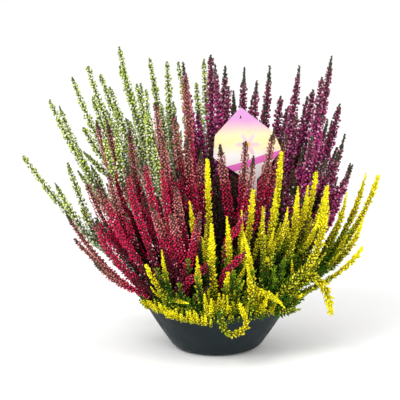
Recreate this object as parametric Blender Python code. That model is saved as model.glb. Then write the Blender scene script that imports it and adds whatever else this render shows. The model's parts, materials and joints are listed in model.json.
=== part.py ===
# Potted heather: four young bud heathers growing in one dark plastic bowl, with a picture tag.
# The origin is the centre of the bowl's underside, +Z is up and -Y is the front.
# Every spray is two solids: a leafy green stem with short twigs, and the budded spikes on it.
import math

import bmesh
import bpy
import numpy as np
from mathutils import Matrix

MM = 0.001
GAP = 0.3 * MM

# Bowl: foot, elliptical lower corner, flaring side and a small rim bead
FOOT_RADIUS = 41 * MM
CORNER_REACH = 18 * MM
CORNER_RISE = 13 * MM
CORNER_TURN = math.radians(62)
BELLY = (74.7 * MM, 31.1 * MM)
RIM_RADIUS = 92 * MM
BOWL_HEIGHT = 62 * MM
WALL = 2.0 * MM
FLOOR_THICKNESS = 2.2 * MM
RIM_BEAD = 1.6 * MM
RIM_BEAD_HEIGHT = 4 * MM
BOWL_SIDES = 40
SIDE_STEPS = 4

# Soil: fills the bowl to a little under the rim
SOIL_TOP = 50 * MM
SOIL_MOUND = 4 * MM
SOIL_CRUMB = 1.2 * MM
SOIL_SIDES = 20
SOIL_RINGS = 3
HOLE_SIDES = 5
HOLE_RADIUS = 3.6 * MM
HOLE_FLOOR = 28 * MM

# Tag: a printed plastic sheet with five sides and a stake, standing upright
TAG_DEPTH = 26 * MM
TAG_THICKNESS = 1.0 * MM
TAG_CORNERS = ((45, 200), (80, 243), (70, 265), (29, 297), (-3, 261), (-5, 233))
TAG_ROUNDING = 3 * MM
STAKE_WIDTH = 9 * MM
STAKE_FOOT = 30 * MM
STAKE_POINT = 8 * MM

# Spikes and stems: triangular whorls, each turned half a step from the one below
STEM_FOOT = HOLE_FLOOR + GAP
STEM_FREE = 55 * MM
STEM_RADIUS = 2.3 * MM
LEAFY_RADIUS = 4.2 * MM
LEAFY_PITCH = 10 * MM
TWIGS = 2
TWIG_RADIUS = 4.8 * MM
TWIG_LENGTH = 42 * MM
TWIG_SPREAD = 0.8
SPIKE_PITCH = 10.4 * MM
SPIKE_NECK = 2.6 * MM
SPIKE_TAPER = 16 * MM
FIRST_FORK = 6 * MM
FORK_STEP = 8 * MM
FORK_SPREAD = 0.6

# Growth: how shoots are bent clear of each other
SAMPLE = 6 * MM
CLEARANCE = 0.9 * MM
ROUNDS = 240
REFRESH = 12
BEND_SHARES = (0.55, 1.0, 0.35)

# Each plant: radius of a spike, share of the leader below the spikes, how far shoots bow outward, colours
PLANTS = {
    "white": (5.2 * MM, 0.36, 0.25, (0.72, 0.80, 0.55)),
    "crimson": (5.4 * MM, 0.24, 0.30, (0.60, 0.05, 0.14)),
    "purple": (5.6 * MM, 0.32, 0.42, (0.25, 0.02, 0.16)),
    "yellow": (5.2 * MM, 0.22, 0.55, (0.80, 0.72, 0.05)),
}

# One row per spray, in millimetres: the plant, where the stem stands, then the leader and its side spikes.
# A spike is its tip, x to the right, y to the back and z up, or the points it passes with the tip last.
SPRAYS = (
    ("white", (-56, 12), (-239, 10, 239), (-197, -15, 212), (-186, 35, 225), (-167, -8, 177)),
    ("white", (-48, 30), (-207, 30, 305), (-197, 60, 292), (-175, 12, 258)),
    ("white", (-34, 44), (-162, 75, 340), (-180, 50, 330), (-157, 95, 298), (-166, 30, 271)),
    ("white", (-22, 26), (-122, 60, 367), (-147, 90, 328), (-134, 70, 315), (-108, 35, 277)),
    ("white", (-14, 48), (-85, 95, 348), (-122, 85, 339), (-101, 50, 322), (-63, 80, 345)),
    ("white", (0, 60), (-17, 80, 349), (-49, 95, 343), (-43, 65, 321), (-27, 110, 313)),
    ("white", (-30, 58), (-89, 165, 268), (-142, 130, 275), (-47, 170, 240), (-170, 110, 224)),
    ("crimson", (-50, -36), (-173, -55, 150), (-151, -38, 147), (-149, -68, 127), (-184, -22, 174)),
    ("crimson", (-62, -12), (-148, -30, 217), (-159, -10, 208), (-131, -48, 230)),
    ("crimson", (-44, 6), (-148, 0, 285), (-136, 20, 281), (-108, 5, 275)),
    ("crimson", (-36, -24), (-75, -12, 310), (-66, -28, 273), (-116, -38, 214), (-93, -26, 242)),
    ("crimson", (-14, 8), (-39, 5, 339), (-53, 0, 294), (-37, -18, 268), (-21, -8, 249)),
    ("crimson", (-22, -46), (-50, -58, 213), (-82, -70, 196), (-56, -76, 186), (-20, -74, 178)),
    ("crimson", (20, -10), (35, 0, 259), (70, 4, 273), (86, 12, 265), (45, -18, 245), (4, -2, 256)),
    ("purple", (0, 34), (-8, 58, 357), (10, 72, 341), (-42, 44, 350), (14, 46, 320)),
    ("purple", (18, 44), (34, 62, 341), (49, 48, 327), (44, 84, 301), (21, 92, 306)),
    ("purple", (28, 58), (66, 78, 340), (79, 62, 305), (61, 98, 286), (32, 146, 272), (91, 128, 280),
     (59, 164, 236)),
    ("purple", (42, 30), (102, 55, 344), (99, 38, 286), (113, 74, 302), (119, 50, 315)),
    ("purple", (54, 12), (141, 45, 358), (129, 32, 334), (117, 20, 265), (133, 6, 236)),
    ("purple", (54, 36), (153, 60, 295), (159, 38, 261), (167, 26, 226), (145, 98, 267), (114, 136, 228)),
    ("yellow", (-4, -38), (-12, -45, 245), (-33, -52, 196), (-20, -72, 156), (-7, -66, 170)),
    ("yellow", (22, -44), (45, -45, 207), (32, -60, 186), (56, -38, 185), (31, -76, 156)),
    ("yellow", (42, -34), (78, -30, 251), (73, -46, 211), (84, -56, 190), (58, -78, 132)),
    ("yellow", (60, -22), (122, -10, 222), (99, -36, 211), (112, -24, 209), (132, -26, 208),
     (124, -52, 178)),
    ("yellow", (65, 0), (198, 0, 217), (184, 20, 216), (161, 4, 195), (178, -26, 170)),
    ("yellow", (46, -46), (178, -35, 134), ((110, -66, 103), (125, -62, 97), (136, -60, 78), (139, -57, 56)),
     (104, -76, 84), (92, -52, 120)),
    ("yellow", (-26, -56), (-85, -75, 122), (-80, -62, 92), (-64, -60, 139), (-34, -96, 80)),
    ("yellow", (6, -66), (13, -90, 116),
     ((4, -98, 66), (11, -105, 46), (27, -106, 44), (36, -105, 56), (32, -104, 68), (27, -102, 80)),
     (32, -85, 107), (36, -74, 128)),
)


def principled(name, colour, roughness):
    """One plain finish of the given colour."""
    material = bpy.data.materials.new(name)
    material.use_nodes = True
    shader = material.node_tree.nodes["Principled BSDF"]
    shader.inputs["Base Color"].default_value = (*colour, 1)
    shader.inputs["Roughness"].default_value = roughness
    shader.inputs["Metallic"].default_value = 0
    return material


def new_object(name, vertices, faces, material, collection=None):
    """A mesh object from points and faces, in the scene or in the given collection."""
    mesh = bpy.data.meshes.new(name)
    mesh.from_pydata([tuple(map(float, v)) for v in vertices], [], faces)
    mesh.materials.append(material)
    obj = bpy.data.objects.new(name, mesh)
    (collection or bpy.context.scene.collection).objects.link(obj)
    return obj


def fuse(obj, others, operation):
    """Joins other objects to this one, or cuts them from it, by one Boolean on their collection, applied."""
    boolean = obj.modifiers.new("Fuse", "BOOLEAN")
    boolean.operand_type = "COLLECTION"
    boolean.collection = others
    boolean.operation = operation
    boolean.solver = "EXACT"
    bpy.context.view_layer.update()
    graph = bpy.context.evaluated_depsgraph_get()
    fused = bpy.data.meshes.new_from_object(obj.evaluated_get(graph))
    obj.modifiers.clear()
    obj.data = fused
    keep_main_body(fused)
    for other in list(others.objects):
        bpy.data.objects.remove(other)
    bpy.data.collections.remove(others)


def keep_main_body(data):
    """Drops loose scraps and fills sealed hollows: only the widest connected surface stays."""
    mesh = bmesh.new()
    mesh.from_mesh(data)
    waiting = set(mesh.verts)
    bodies = []
    while waiting:
        edge = [waiting.pop()]
        body = set(edge)
        while edge:
            vertex = edge.pop()
            for link in vertex.link_edges:
                other = link.other_vert(vertex)
                if other not in body:
                    body.add(other)
                    edge.append(other)
        waiting -= body
        bodies.append(body)
    bodies.sort(key=len)
    for body in bodies[:-1]:
        bmesh.ops.delete(mesh, geom=list(body), context="VERTS")
    mesh.to_mesh(data)
    mesh.free()


def helper_collection():
    collection = bpy.data.collections.new("Pieces")
    bpy.context.scene.collection.children.link(collection)
    return collection


def lathe(name, profile, sides, material):
    """The profile, from the lower axis point round the outside to the upper one, turned about Z."""
    vertices = [(0, 0, profile[0][1])]
    for radius, height in profile[1:-1]:
        for i in range(sides):
            turn = 2 * math.pi * i / sides
            vertices.append((radius * math.cos(turn), radius * math.sin(turn), height))
    vertices.append((0, 0, profile[-1][1]))
    last = len(vertices) - 1
    faces = []
    for i in range(sides):
        j = (i + 1) % sides
        faces.append((0, 1 + j, 1 + i))
        for ring in range(len(profile) - 3):
            low = 1 + ring * sides
            high = low + sides
            faces.append((low + i, low + j, high + j, high + i))
        faces.append((last, last - sides + i, last - sides + j))
    return new_object(name, vertices, faces, material)


def bowl_side(steps):
    """The outside of the bowl's wall from its foot's edge up to the rim, as radii and heights."""
    points = []
    for turn in np.linspace(0, CORNER_TURN, steps // 2 + 1):
        points.append((FOOT_RADIUS + CORNER_REACH * math.sin(turn), CORNER_RISE * (1 - math.cos(turn))))
    start = points[-1]
    for t in np.linspace(0, 1, steps + 1)[1:]:
        radius = (1 - t) ** 2 * start[0] + 2 * t * (1 - t) * BELLY[0] + t * t * RIM_RADIUS
        height = (1 - t) ** 2 * start[1] + 2 * t * (1 - t) * BELLY[1] + t * t * BOWL_HEIGHT
        points.append((radius, height))
    return points


def side_radius(height):
    """The bowl's outer radius at a height."""
    side = np.array(bowl_side(SIDE_STEPS))
    return np.interp(height, side[:, 1], side[:, 0])


def make_bowl():
    plastic = principled("charcoal_plastic", (0.03, 0.04, 0.05), 0.6)
    outside = bowl_side(SIDE_STEPS)
    bead_low = BOWL_HEIGHT - RIM_BEAD_HEIGHT
    profile = [(0, 0)] + outside[:-1]
    profile.append((float(side_radius(bead_low)), bead_low))
    profile.append((RIM_RADIUS + RIM_BEAD, bead_low + RIM_BEAD))
    profile.append((RIM_RADIUS + RIM_BEAD, BOWL_HEIGHT - RIM_BEAD / 2))
    profile.append((RIM_RADIUS, BOWL_HEIGHT))
    profile.append((RIM_RADIUS - WALL, BOWL_HEIGHT - WALL / 2))
    for radius, height in reversed(outside[1:-1]):
        if height > FLOOR_THICKNESS:
            profile.append((radius - WALL, height))
    profile.append((FOOT_RADIUS, FLOOR_THICKNESS))
    profile.append((0, FLOOR_THICKNESS))
    bowl = lathe("bowl", profile, BOWL_SIDES, plastic)
    bowl.data.shade_smooth()
    bowl.data.set_sharp_from_angle(angle=math.radians(40))


def stake_line():
    """The tag's lower corner and the stake's centre line below it."""
    return TAG_CORNERS[0][0] * MM


def make_soil(roots):
    peat = principled("peat", (0.03, 0.02, 0.015), 0.95)
    slack = WALL + 2 * GAP
    profile = [(0, FLOOR_THICKNESS + GAP), (FOOT_RADIUS - GAP, FLOOR_THICKNESS + GAP)]
    for radius, height in bowl_side(SIDE_STEPS):
        if FLOOR_THICKNESS + 2 * GAP < height < SOIL_TOP - 2 * MM:
            profile.append((radius - slack, height))
    edge = float(side_radius(SOIL_TOP)) - slack
    for ring in range(SOIL_RINGS, 0, -1):
        share = ring / SOIL_RINGS
        profile.append((edge * share, SOIL_TOP + SOIL_MOUND * (1 - share * share)))
    profile.append((0, SOIL_TOP + SOIL_MOUND))
    soil = lathe("soil", profile, SOIL_SIDES, peat)
    rng = np.random.default_rng(11)
    for vertex in soil.data.vertices:
        if vertex.co.z > SOIL_TOP + 0.1 * MM:
            vertex.co.z += SOIL_CRUMB * (2 * rng.random() - 1)
    cutters = helper_collection()
    for x, y in roots:
        shape = bmesh.new()
        bmesh.ops.create_cone(
            shape,
            cap_ends=True,
            segments=HOLE_SIDES,
            radius1=HOLE_RADIUS,
            radius2=HOLE_RADIUS,
            depth=2 * (SOIL_TOP - HOLE_FLOOR),
            matrix=Matrix.Translation((x, y, SOIL_TOP)),
        )
        data = bpy.data.meshes.new("hole")
        shape.to_mesh(data)
        shape.free()
        cutters.objects.link(bpy.data.objects.new("hole", data))
    new_object("slot", *box_shape(stake_line(), TAG_DEPTH), peat, cutters)
    fuse(soil, cutters, "DIFFERENCE")


def box_shape(x, y):
    """Corners and faces of the slot that takes the tag's stake."""
    wide = STAKE_WIDTH / 2 + 2 * GAP
    deep = TAG_THICKNESS / 2 + GAP
    low = STAKE_FOOT - GAP
    high = SOIL_TOP + 3 * SOIL_MOUND
    ring = ((-wide, -deep), (wide, -deep), (wide, deep), (-wide, deep))
    corners = [(x + dx, y + dy, z) for z in (low, high) for dx, dy in ring]
    faces = [(0, 3, 2, 1), (4, 5, 6, 7)] + [(i, (i + 1) % 4, 4 + (i + 1) % 4, 4 + i) for i in range(4)]
    return corners, faces


def make_tag():
    plastic = principled("tag_plastic", (0.85, 0.8, 0.82), 0.35)
    x = stake_line()
    half = STAKE_WIDTH / 2
    outline = []
    corners = [np.array(c) * MM for c in TAG_CORNERS]
    for i in range(1, len(corners)):
        before = corners[i - 1]
        here = corners[i]
        after = corners[(i + 1) % len(corners)]
        start = here + TAG_ROUNDING * (before - here) / np.linalg.norm(before - here)
        end = here + TAG_ROUNDING * (after - here) / np.linalg.norm(after - here)
        for t in (0, 0.5, 1):
            outline.append((1 - t) ** 2 * start + 2 * t * (1 - t) * here + t * t * end)
    neck = corners[0][1] + half
    outline += [(x - half, neck), (x - half, STAKE_FOOT + STAKE_POINT), (x, STAKE_FOOT)]
    outline += [(x + half, STAKE_FOOT + STAKE_POINT), (x + half, neck)]
    mesh = bmesh.new()
    front = TAG_DEPTH - TAG_THICKNESS / 2
    ring = [mesh.verts.new((px, front, pz)) for px, pz in outline]
    face = mesh.faces.new(ring)
    grown = bmesh.ops.extrude_face_region(mesh, geom=[face])
    moved = [v for v in grown["geom"] if isinstance(v, bmesh.types.BMVert)]
    bmesh.ops.translate(mesh, verts=moved, vec=(0, TAG_THICKNESS, 0))
    bmesh.ops.recalc_face_normals(mesh, faces=mesh.faces)
    data = bpy.data.meshes.new("tag")
    mesh.to_mesh(data)
    mesh.free()
    data.materials.append(plastic)
    tag = bpy.data.objects.new("tag", data)
    bpy.context.scene.collection.objects.link(tag)


def evenly(points):
    """The same line with its points a sample apart."""
    steps = np.linalg.norm(np.diff(points, axis=0), axis=1)
    along = np.concatenate([[0], np.cumsum(steps)])
    count = max(4, int(round(along[-1] / SAMPLE)) + 1)
    wanted = np.linspace(0, along[-1], count)
    return np.stack([np.interp(wanted, along, points[:, k]) for k in range(3)], axis=1)


def bowed(start, passes, bow):
    """A smooth line from the start through the points it passes. To a tip alone, it leans out and then turns up."""
    t = np.linspace(0, 1, 60)[:, None]
    tip = passes[-1]
    if len(passes) == 1:
        share = np.array([0.5 + bow / 2, 0.5 + bow / 2, 0.5 - bow / 4])
        middle = start + (tip - start) * share
        return evenly((1 - t) ** 2 * start + 2 * t * (1 - t) * middle + t * t * tip)
    knots = np.array([start, *passes])
    slopes = np.gradient(knots, axis=0)
    pieces = []
    for i in range(len(knots) - 1):
        ends = (2 * t**3 - 3 * t**2 + 1) * knots[i] + (3 * t**2 - 2 * t**3) * knots[i + 1]
        pieces.append(ends + (t**3 - 2 * t**2 + t) * slopes[i] + (t**3 - t**2) * slopes[i + 1])
    return evenly(np.concatenate(pieces))


class Shoot:
    """One axis that grows: its points, its thickness, and the shoot and place it forks from."""

    def __init__(self, spray, role, points, radius, parent=None, fork=0):
        self.spray = spray
        self.role = role
        self.points = points
        self.planned = points.copy()
        self.radius = radius
        self.parent = parent
        self.fork = fork


def length_along(points):
    return np.concatenate([[0], np.cumsum(np.linalg.norm(np.diff(points, axis=0), axis=1))])


def plan_shoots():
    """Every leader, side spike and twig on its planned line."""
    shoots = []
    for number, (plant, root, *spikes) in enumerate(SPRAYS):
        radius, bare, bow, _ = PLANTS[plant]
        foot = np.array([root[0] * MM, root[1] * MM, STEM_FREE])
        leader = Shoot(number, "leader", bowed(foot, np.atleast_2d(spikes[0]) * MM, bow), radius)
        leader.collar = bare * length_along(leader.points)[-1]
        shoots.append(leader)
        for k, passes in enumerate(spikes[1:]):
            fork = int(round((leader.collar + FIRST_FORK + FORK_STEP * k) / SAMPLE))
            points = bowed(leader.points[fork], np.atleast_2d(passes) * MM, bow)
            shoots.append(Shoot(number, "side", points, radius, leader, fork))
        for k in range(TWIGS):
            fork = 1 + int(round((leader.collar / SAMPLE - 3) * (k + 0.5) / TWIGS))
            turn = math.atan2(root[1], root[0]) + TWIG_SPREAD * (-1) ** k * (1 + number % 3)
            reach = np.array([math.cos(turn) * 0.8, math.sin(turn) * 0.8, 0.5]) * TWIG_LENGTH
            points = bowed(leader.points[fork], np.array([leader.points[fork] + reach]), 0.3)
            shoots.append(Shoot(number, "twig", points, TWIG_RADIUS, leader, fork))
    return shoots


def bend_clear(shoots):
    """Bends the shoots apart little by little until they are clear of each other, the bowl and the tag."""
    sizes = [len(s.points) for s in shoots]
    first = np.concatenate([[0], np.cumsum(sizes)])
    spray = np.concatenate([np.full(n, s.spray) for n, s in zip(sizes, shoots)])
    owner = np.concatenate([np.full(n, i) for i, n in enumerate(sizes)])
    radius = np.concatenate([np.full(n, s.radius) for n, s in zip(sizes, shoots)])
    free = np.concatenate([length_along(s.points) for s in shoots])
    rest = np.array([s.parent is None for s in shoots])[owner]
    planned = np.concatenate([s.planned for s in shoots])
    points = planned.copy()
    shares = np.array(BEND_SHARES)
    for turn in range(ROUNDS):
        if turn % REFRESH == 0:
            near = np.linalg.norm(points[:, None] - points[None], axis=2) < 30 * MM
            a, b = np.nonzero(np.triu(near & (owner[:, None] != owner[None])))
            kin = spray[a] == spray[b]
            reach = radius[a] + radius[b] + CLEARANCE
            from_fork = np.where(rest[a], free[b], np.where(rest[b], free[a], np.minimum(free[a], free[b])))
            reach = np.where(kin, np.minimum(reach, FORK_SPREAD * from_fork), reach)
        apart = points[b] - points[a]
        gap = np.linalg.norm(apart, axis=1)
        short = np.maximum(reach - gap, 0)
        push = apart / np.maximum(gap, 1e-9)[:, None] * (0.5 * short)[:, None] * shares
        move = np.zeros_like(points)
        hits = np.zeros(len(points))
        np.add.at(move, b, push)
        np.add.at(move, a, -push)
        np.add.at(hits, a, short > 0)
        np.add.at(hits, b, short > 0)
        move /= np.maximum(np.sqrt(hits), 1)[:, None]
        move += clear_of_bowl(points, radius) + clear_of_tag(points, radius)
        bent = points + move - planned
        for i, shoot in enumerate(shoots):
            part = slice(first[i], first[i + 1])
            shift = bent[part]
            if shoot.parent is not None:
                at = first[shoots.index(shoot.parent)] + shoot.fork
                shift[0] = points[at] - planned[at]
            else:
                shift[0] = 0
            inner = shift.copy()
            inner[1:-1] = 0.25 * shift[:-2] + 0.5 * shift[1:-1] + 0.25 * shift[2:]
            inner[-1] = 0.5 * (shift[-1] + shift[-2])
            points[part] = planned[part] + inner
    for i, shoot in enumerate(shoots):
        shoot.points = points[first[i] : first[i + 1]]


def clear_of_bowl(points, radius):
    """Moves that lift points off the rim, the bowl's side and the soil."""
    out = np.linalg.norm(points[:, :2], axis=1)
    ray = points[:, :2] / np.maximum(out, 1e-6)[:, None]
    move = np.zeros_like(points)
    rim = np.stack([out - RIM_RADIUS, points[:, 2] - BOWL_HEIGHT + WALL], axis=1)
    away = np.linalg.norm(rim, axis=1)
    short = np.maximum(radius + WALL + RIM_BEAD + CLEARANCE - away, 0)
    unit = rim / np.maximum(away, 1e-6)[:, None]
    move[:, :2] += ray * (unit[:, 0] * short)[:, None]
    move[:, 2] += unit[:, 1] * short
    low = (points[:, 2] < BOWL_HEIGHT) & (out > RIM_RADIUS)
    short = np.where(low, np.maximum(side_radius(points[:, 2]) + radius + 2 * MM - out, 0), 0)
    move[:, :2] += ray * short[:, None]
    inside = out < RIM_RADIUS
    floor = SOIL_TOP + SOIL_MOUND * (1 - (out / RIM_RADIUS) ** 2) + SOIL_CRUMB + radius + GAP
    move[:, 2] += np.where(inside, np.maximum(floor - points[:, 2], 0) * 0.5, 0)
    return move


def clear_of_tag(points, radius):
    """Moves that keep points in front of the tag or behind it, on the side they are on."""
    corners = np.array(TAG_CORNERS) * MM
    x, z = points[:, 0], points[:, 2]
    within = np.full(len(points), np.inf)
    for here, there in zip(corners, np.roll(corners, -1, axis=0)):
        side = there - here
        inward = np.array([-side[1], side[0]]) / np.linalg.norm(side)
        within = np.minimum(within, (x - here[0]) * inward[0] + (z - here[1]) * inward[1])
    stake = (np.abs(x - stake_line()) < STAKE_WIDTH / 2 + radius) & (z < corners[0][1])
    close = (within > -radius) | stake
    depth = points[:, 1] - TAG_DEPTH
    short = np.maximum(radius + TAG_THICKNESS + CLEARANCE - np.abs(depth), 0)
    move = np.zeros_like(points)
    move[:, 1] = np.where(close, np.sign(depth) * short * 0.6, 0)
    return move


def frames(points):
    """A direction along the line at each point, with two more square to it that don't twist."""
    along = np.gradient(points, axis=0)
    along /= np.linalg.norm(along, axis=1)[:, None]
    side = np.cross(along[0], (0.3, 1.0, 0.1))
    sides = []
    for direction in along:
        side = side - direction * np.dot(side, direction)
        side = side / np.linalg.norm(side)
        sides.append(side)
    sides = np.array(sides)
    return along, sides, np.cross(along, sides)


def stretch(points, low, high, pitch):
    """Points a pitch apart on the part of the line between two lengths along it."""
    along = length_along(points)
    count = max(3, int(round((high - low) / pitch)) + 1)
    wanted = np.linspace(low, high, count)
    return np.stack([np.interp(wanted, along, points[:, k]) for k in range(3)], axis=1)


def tower(points, radii, turn, flat_top):
    """Triangular whorls up a line, each turned half a step, with a flat foot and a pointed or flat top."""
    along, sides, others = frames(points)
    vertices = []
    for k, (centre, radius) in enumerate(zip(points, radii)):
        for j in range(3):
            angle = turn + math.radians(64 * k + 120 * j)
            vertices.append(centre + radius * (math.cos(angle) * sides[k] + math.sin(angle) * others[k]))
    faces = [(2, 1, 0)]
    rings = len(points)
    for k in range(rings - 1):
        for j in range(3):
            low, low_next = 3 * k + j, 3 * k + (j + 1) % 3
            high, high_before = 3 * k + 3 + j, 3 * k + 3 + (j - 1) % 3
            faces.append((low, high, high_before))
            faces.append((low, low_next, high))
    top = 3 * (rings - 1)
    if flat_top:
        faces.append((top, top + 1, top + 2))
    else:
        vertices.append(points[-1] + along[-1] * radii[-1])
        faces += [(top + j, top + (j + 1) % 3, len(vertices) - 1) for j in range(3)]
    return vertices, faces


def spike_radii(count, length, radius, low):
    """Thickness from the foot up: a neck, the full spike, and a taper to the tip."""
    along = np.linspace(0, length, count)
    swell = np.minimum(1, low / radius + (1 - low / radius) * along / (3 * SPIKE_PITCH))
    taper = np.clip((length - along) / SPIKE_TAPER, 0, 1) ** 0.7
    waves = 1 + 0.09 * np.cos(2.4 * np.arange(count))
    return radius * swell * (0.3 + 0.7 * taper) * waves


def make_spray(number, shoots):
    plant, root, *_ = SPRAYS[number]
    mine = [s for s in shoots if s.spray == number]
    leader = mine[0]
    colour = PLANTS[plant][3]
    order = 1 + sum(row[0] == plant for row in SPRAYS[:number])
    green = principled(f"{plant}_green", (0.06, 0.14, 0.03), 0.7)
    bloom = principled(f"{plant}_bloom", colour, 0.7)

    foot = np.array([root[0] * MM, root[1] * MM, STEM_FOOT])
    sunk = np.array([foot, foot + (0, 0, SOIL_TOP - STEM_FOOT)])
    upper = stretch(leader.points, 0, leader.collar - GAP, LEAFY_PITCH)
    line = np.concatenate([sunk, upper])
    radii = np.full(len(line), LEAFY_RADIUS)
    radii[:3] = STEM_RADIUS
    radii[-1] = SPIKE_NECK
    stem = new_object(f"{plant}_stem_{order}", *tower(line, radii, number, True), green)
    twigs = helper_collection()
    for k, shoot in enumerate(s for s in mine if s.role == "twig"):
        points = stretch(shoot.points, 0, length_along(shoot.points)[-1] - 2 * MM, LEAFY_PITCH)
        radii = np.linspace(TWIG_RADIUS, 0.55 * TWIG_RADIUS, len(points))
        radii[0] = 0.4 * TWIG_RADIUS
        new_object(f"twig_{k}", *tower(points, radii, k, False), green, twigs)
    fuse(stem, twigs, "UNION")

    total = length_along(leader.points)[-1]
    points = stretch(leader.points, leader.collar, total - leader.radius / 2, SPIKE_PITCH)
    radii = spike_radii(len(points), total - leader.collar, leader.radius, SPIKE_NECK)
    name = "shoots" if plant == "yellow" else "spikes"
    spikes = new_object(f"{plant}_{name}_{order}", *tower(points, radii, number, False), bloom)
    sides = helper_collection()
    for k, shoot in enumerate(s for s in mine if s.role == "side"):
        total = length_along(shoot.points)[-1]
        points = stretch(shoot.points, 0, total - shoot.radius / 2, SPIKE_PITCH)
        radii = spike_radii(len(points), total, shoot.radius, 0.3 * shoot.radius)
        new_object(f"side_{k}", *tower(points, radii, k, False), bloom, sides)
    fuse(spikes, sides, "UNION")


def main():
    for obj in list(bpy.data.objects):
        bpy.data.objects.remove(obj)
    make_bowl()
    make_soil([(x * MM, y * MM) for _, (x, y), *_ in SPRAYS])
    make_tag()
    shoots = plan_shoots()
    bend_clear(shoots)
    for number in range(len(SPRAYS)):
        make_spray(number, shoots)


main()
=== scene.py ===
# The looks of the potted heather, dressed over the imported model.
# Units are metres, +Z is up, -Y is the front, and the origin is the centre of the bowl's underside.
import json
import math
from dataclasses import dataclass
from functools import partial

import bpy
import numpy as np
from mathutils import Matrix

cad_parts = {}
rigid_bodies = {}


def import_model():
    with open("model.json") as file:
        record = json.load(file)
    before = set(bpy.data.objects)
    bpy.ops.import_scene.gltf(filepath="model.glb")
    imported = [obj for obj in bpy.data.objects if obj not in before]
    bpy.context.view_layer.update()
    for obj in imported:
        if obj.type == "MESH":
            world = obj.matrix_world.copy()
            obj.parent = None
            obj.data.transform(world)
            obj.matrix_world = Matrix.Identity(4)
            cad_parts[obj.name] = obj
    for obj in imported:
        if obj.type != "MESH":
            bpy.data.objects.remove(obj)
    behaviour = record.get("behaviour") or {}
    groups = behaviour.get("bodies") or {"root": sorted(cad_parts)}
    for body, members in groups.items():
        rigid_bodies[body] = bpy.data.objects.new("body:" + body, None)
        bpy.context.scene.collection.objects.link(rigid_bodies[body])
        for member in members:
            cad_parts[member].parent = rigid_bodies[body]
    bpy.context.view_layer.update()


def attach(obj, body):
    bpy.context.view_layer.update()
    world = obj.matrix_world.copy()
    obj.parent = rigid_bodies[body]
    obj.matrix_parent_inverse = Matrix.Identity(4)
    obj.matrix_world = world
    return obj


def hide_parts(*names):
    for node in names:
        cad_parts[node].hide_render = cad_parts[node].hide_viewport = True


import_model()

MM = 0.001

# The stage: a straight product shot from a little above, on white.
# A pale floor, a white room, a wide soft light at the upper left and a weaker one at the right.
CAMERA_AWAY = 3.0
CAMERA_RISE = math.radians(16)
CAMERA_REACH = 60
PIXEL = 1.25 * MM
MIDDLE_PIXEL = 200
BASE_PIXEL = (217, 345)
LAMPS = (("key", (-1.3, -1.6, 2.1), 1.3, 42), ("side", (1.9, -0.9, 1.0), 1.2, 12))
LAMP_TARGET = (0, 0, 0.17)
ROOM_LIGHT = 1.0
FLOOR_HALF = 8.0
FLOOR_GREYS = ((0.93, 0.93, 0.93), (0.96, 0.96, 0.955))


def aim(thing, eye, target):
    """Stands a camera or a light at the eye, its -Z axis towards the target and its Y axis upright."""
    ahead = np.subtract(target, eye)
    flat = math.hypot(ahead[0], ahead[1])
    thing.location = eye
    thing.rotation_euler = (math.atan2(flat, -ahead[2]), 0, math.atan2(-ahead[0], ahead[1]))


def link(data, name):
    """Puts new data in the scene as an object at the origin."""
    thing = bpy.data.objects.new(name, data)
    bpy.context.scene.collection.objects.link(thing)
    return thing


def feed(tree, socket, value):
    """Gives a socket a plain value, or joins another node's socket to it."""
    if isinstance(value, bpy.types.NodeSocket):
        tree.links.new(value, socket)
    else:
        socket.default_value = value


class Finish:
    """A material: its node tree, and its Principled shader with the given numbers on its sockets."""

    def __init__(self, name, **sockets):
        self.material = bpy.data.materials.new(name)
        self.material.use_nodes = True
        self.tree = self.material.node_tree
        self.shader = self.tree.nodes["Principled BSDF"]
        for socket, value in sockets.items():
            self.shader.inputs[socket.replace("_", " ")].default_value = value

    def drive(self, socket, value):
        """Joins a pattern to one of the shader's sockets."""
        feed(self.tree, self.shader.inputs[socket], value)

    def bump(self, height, strength, distance):
        """Raises the surface by a height pattern, through a Bump node."""
        bump = self.tree.nodes.new("ShaderNodeBump")
        for socket, value in (("Height", height), ("Strength", strength), ("Distance", distance)):
            feed(self.tree, bump.inputs[socket], value)
        self.drive("Normal", bump.outputs["Normal"])


def cloud(tree, scale, detail=3.0, roughness=0.55):
    """The value socket of soft noise over the object's own coordinates."""
    place = tree.nodes.new("ShaderNodeTexCoord")
    node = tree.nodes.new("ShaderNodeTexNoise")
    for socket, value in (("Scale", scale), ("Detail", detail), ("Roughness", roughness)):
        node.inputs[socket].default_value = value
    tree.links.new(place.outputs["Object"], node.inputs["Vector"])
    return node.outputs["Fac"]


def mix(tree, share, first, second, blend="MIX"):
    """The colour socket of two colours mixed by a share."""
    node = tree.nodes.new("ShaderNodeMix")
    node.data_type = "RGBA"
    node.blend_type = blend
    for index, value in ((0, share), (6, first), (7, second)):
        feed(tree, node.inputs[index], (*value, 1) if isinstance(value, tuple) else value)
    return node.outputs[2]


def put_mesh(name, points, faces, material, smooth=True, growth=None):
    """A mesh object from an array of points and one of triangles, with three growth marks for each point."""
    points = np.asarray(points, dtype=np.float32).reshape(-1, 3)
    faces = np.asarray(faces, dtype=np.int32).reshape(-1, 3)
    mesh = bpy.data.meshes.new(name)
    mesh.vertices.add(len(points))
    mesh.vertices.foreach_set("co", points.ravel())
    mesh.loops.add(faces.size)
    mesh.loops.foreach_set("vertex_index", faces.ravel())
    mesh.polygons.add(len(faces))
    mesh.polygons.foreach_set("loop_start", np.arange(0, faces.size, 3, dtype=np.int32))
    mesh.polygons.foreach_set("use_smooth", np.full(len(faces), smooth))
    mesh.update(calc_edges=True)
    if growth is not None:
        colours = np.ones((len(points), 4), dtype=np.float32)
        colours[:, :3] = growth
        mesh.attributes.new("growth", "FLOAT_COLOR", "POINT").data.foreach_set("color", colours.ravel())
    mesh.materials.append(material)
    return link(mesh, name)


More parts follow.
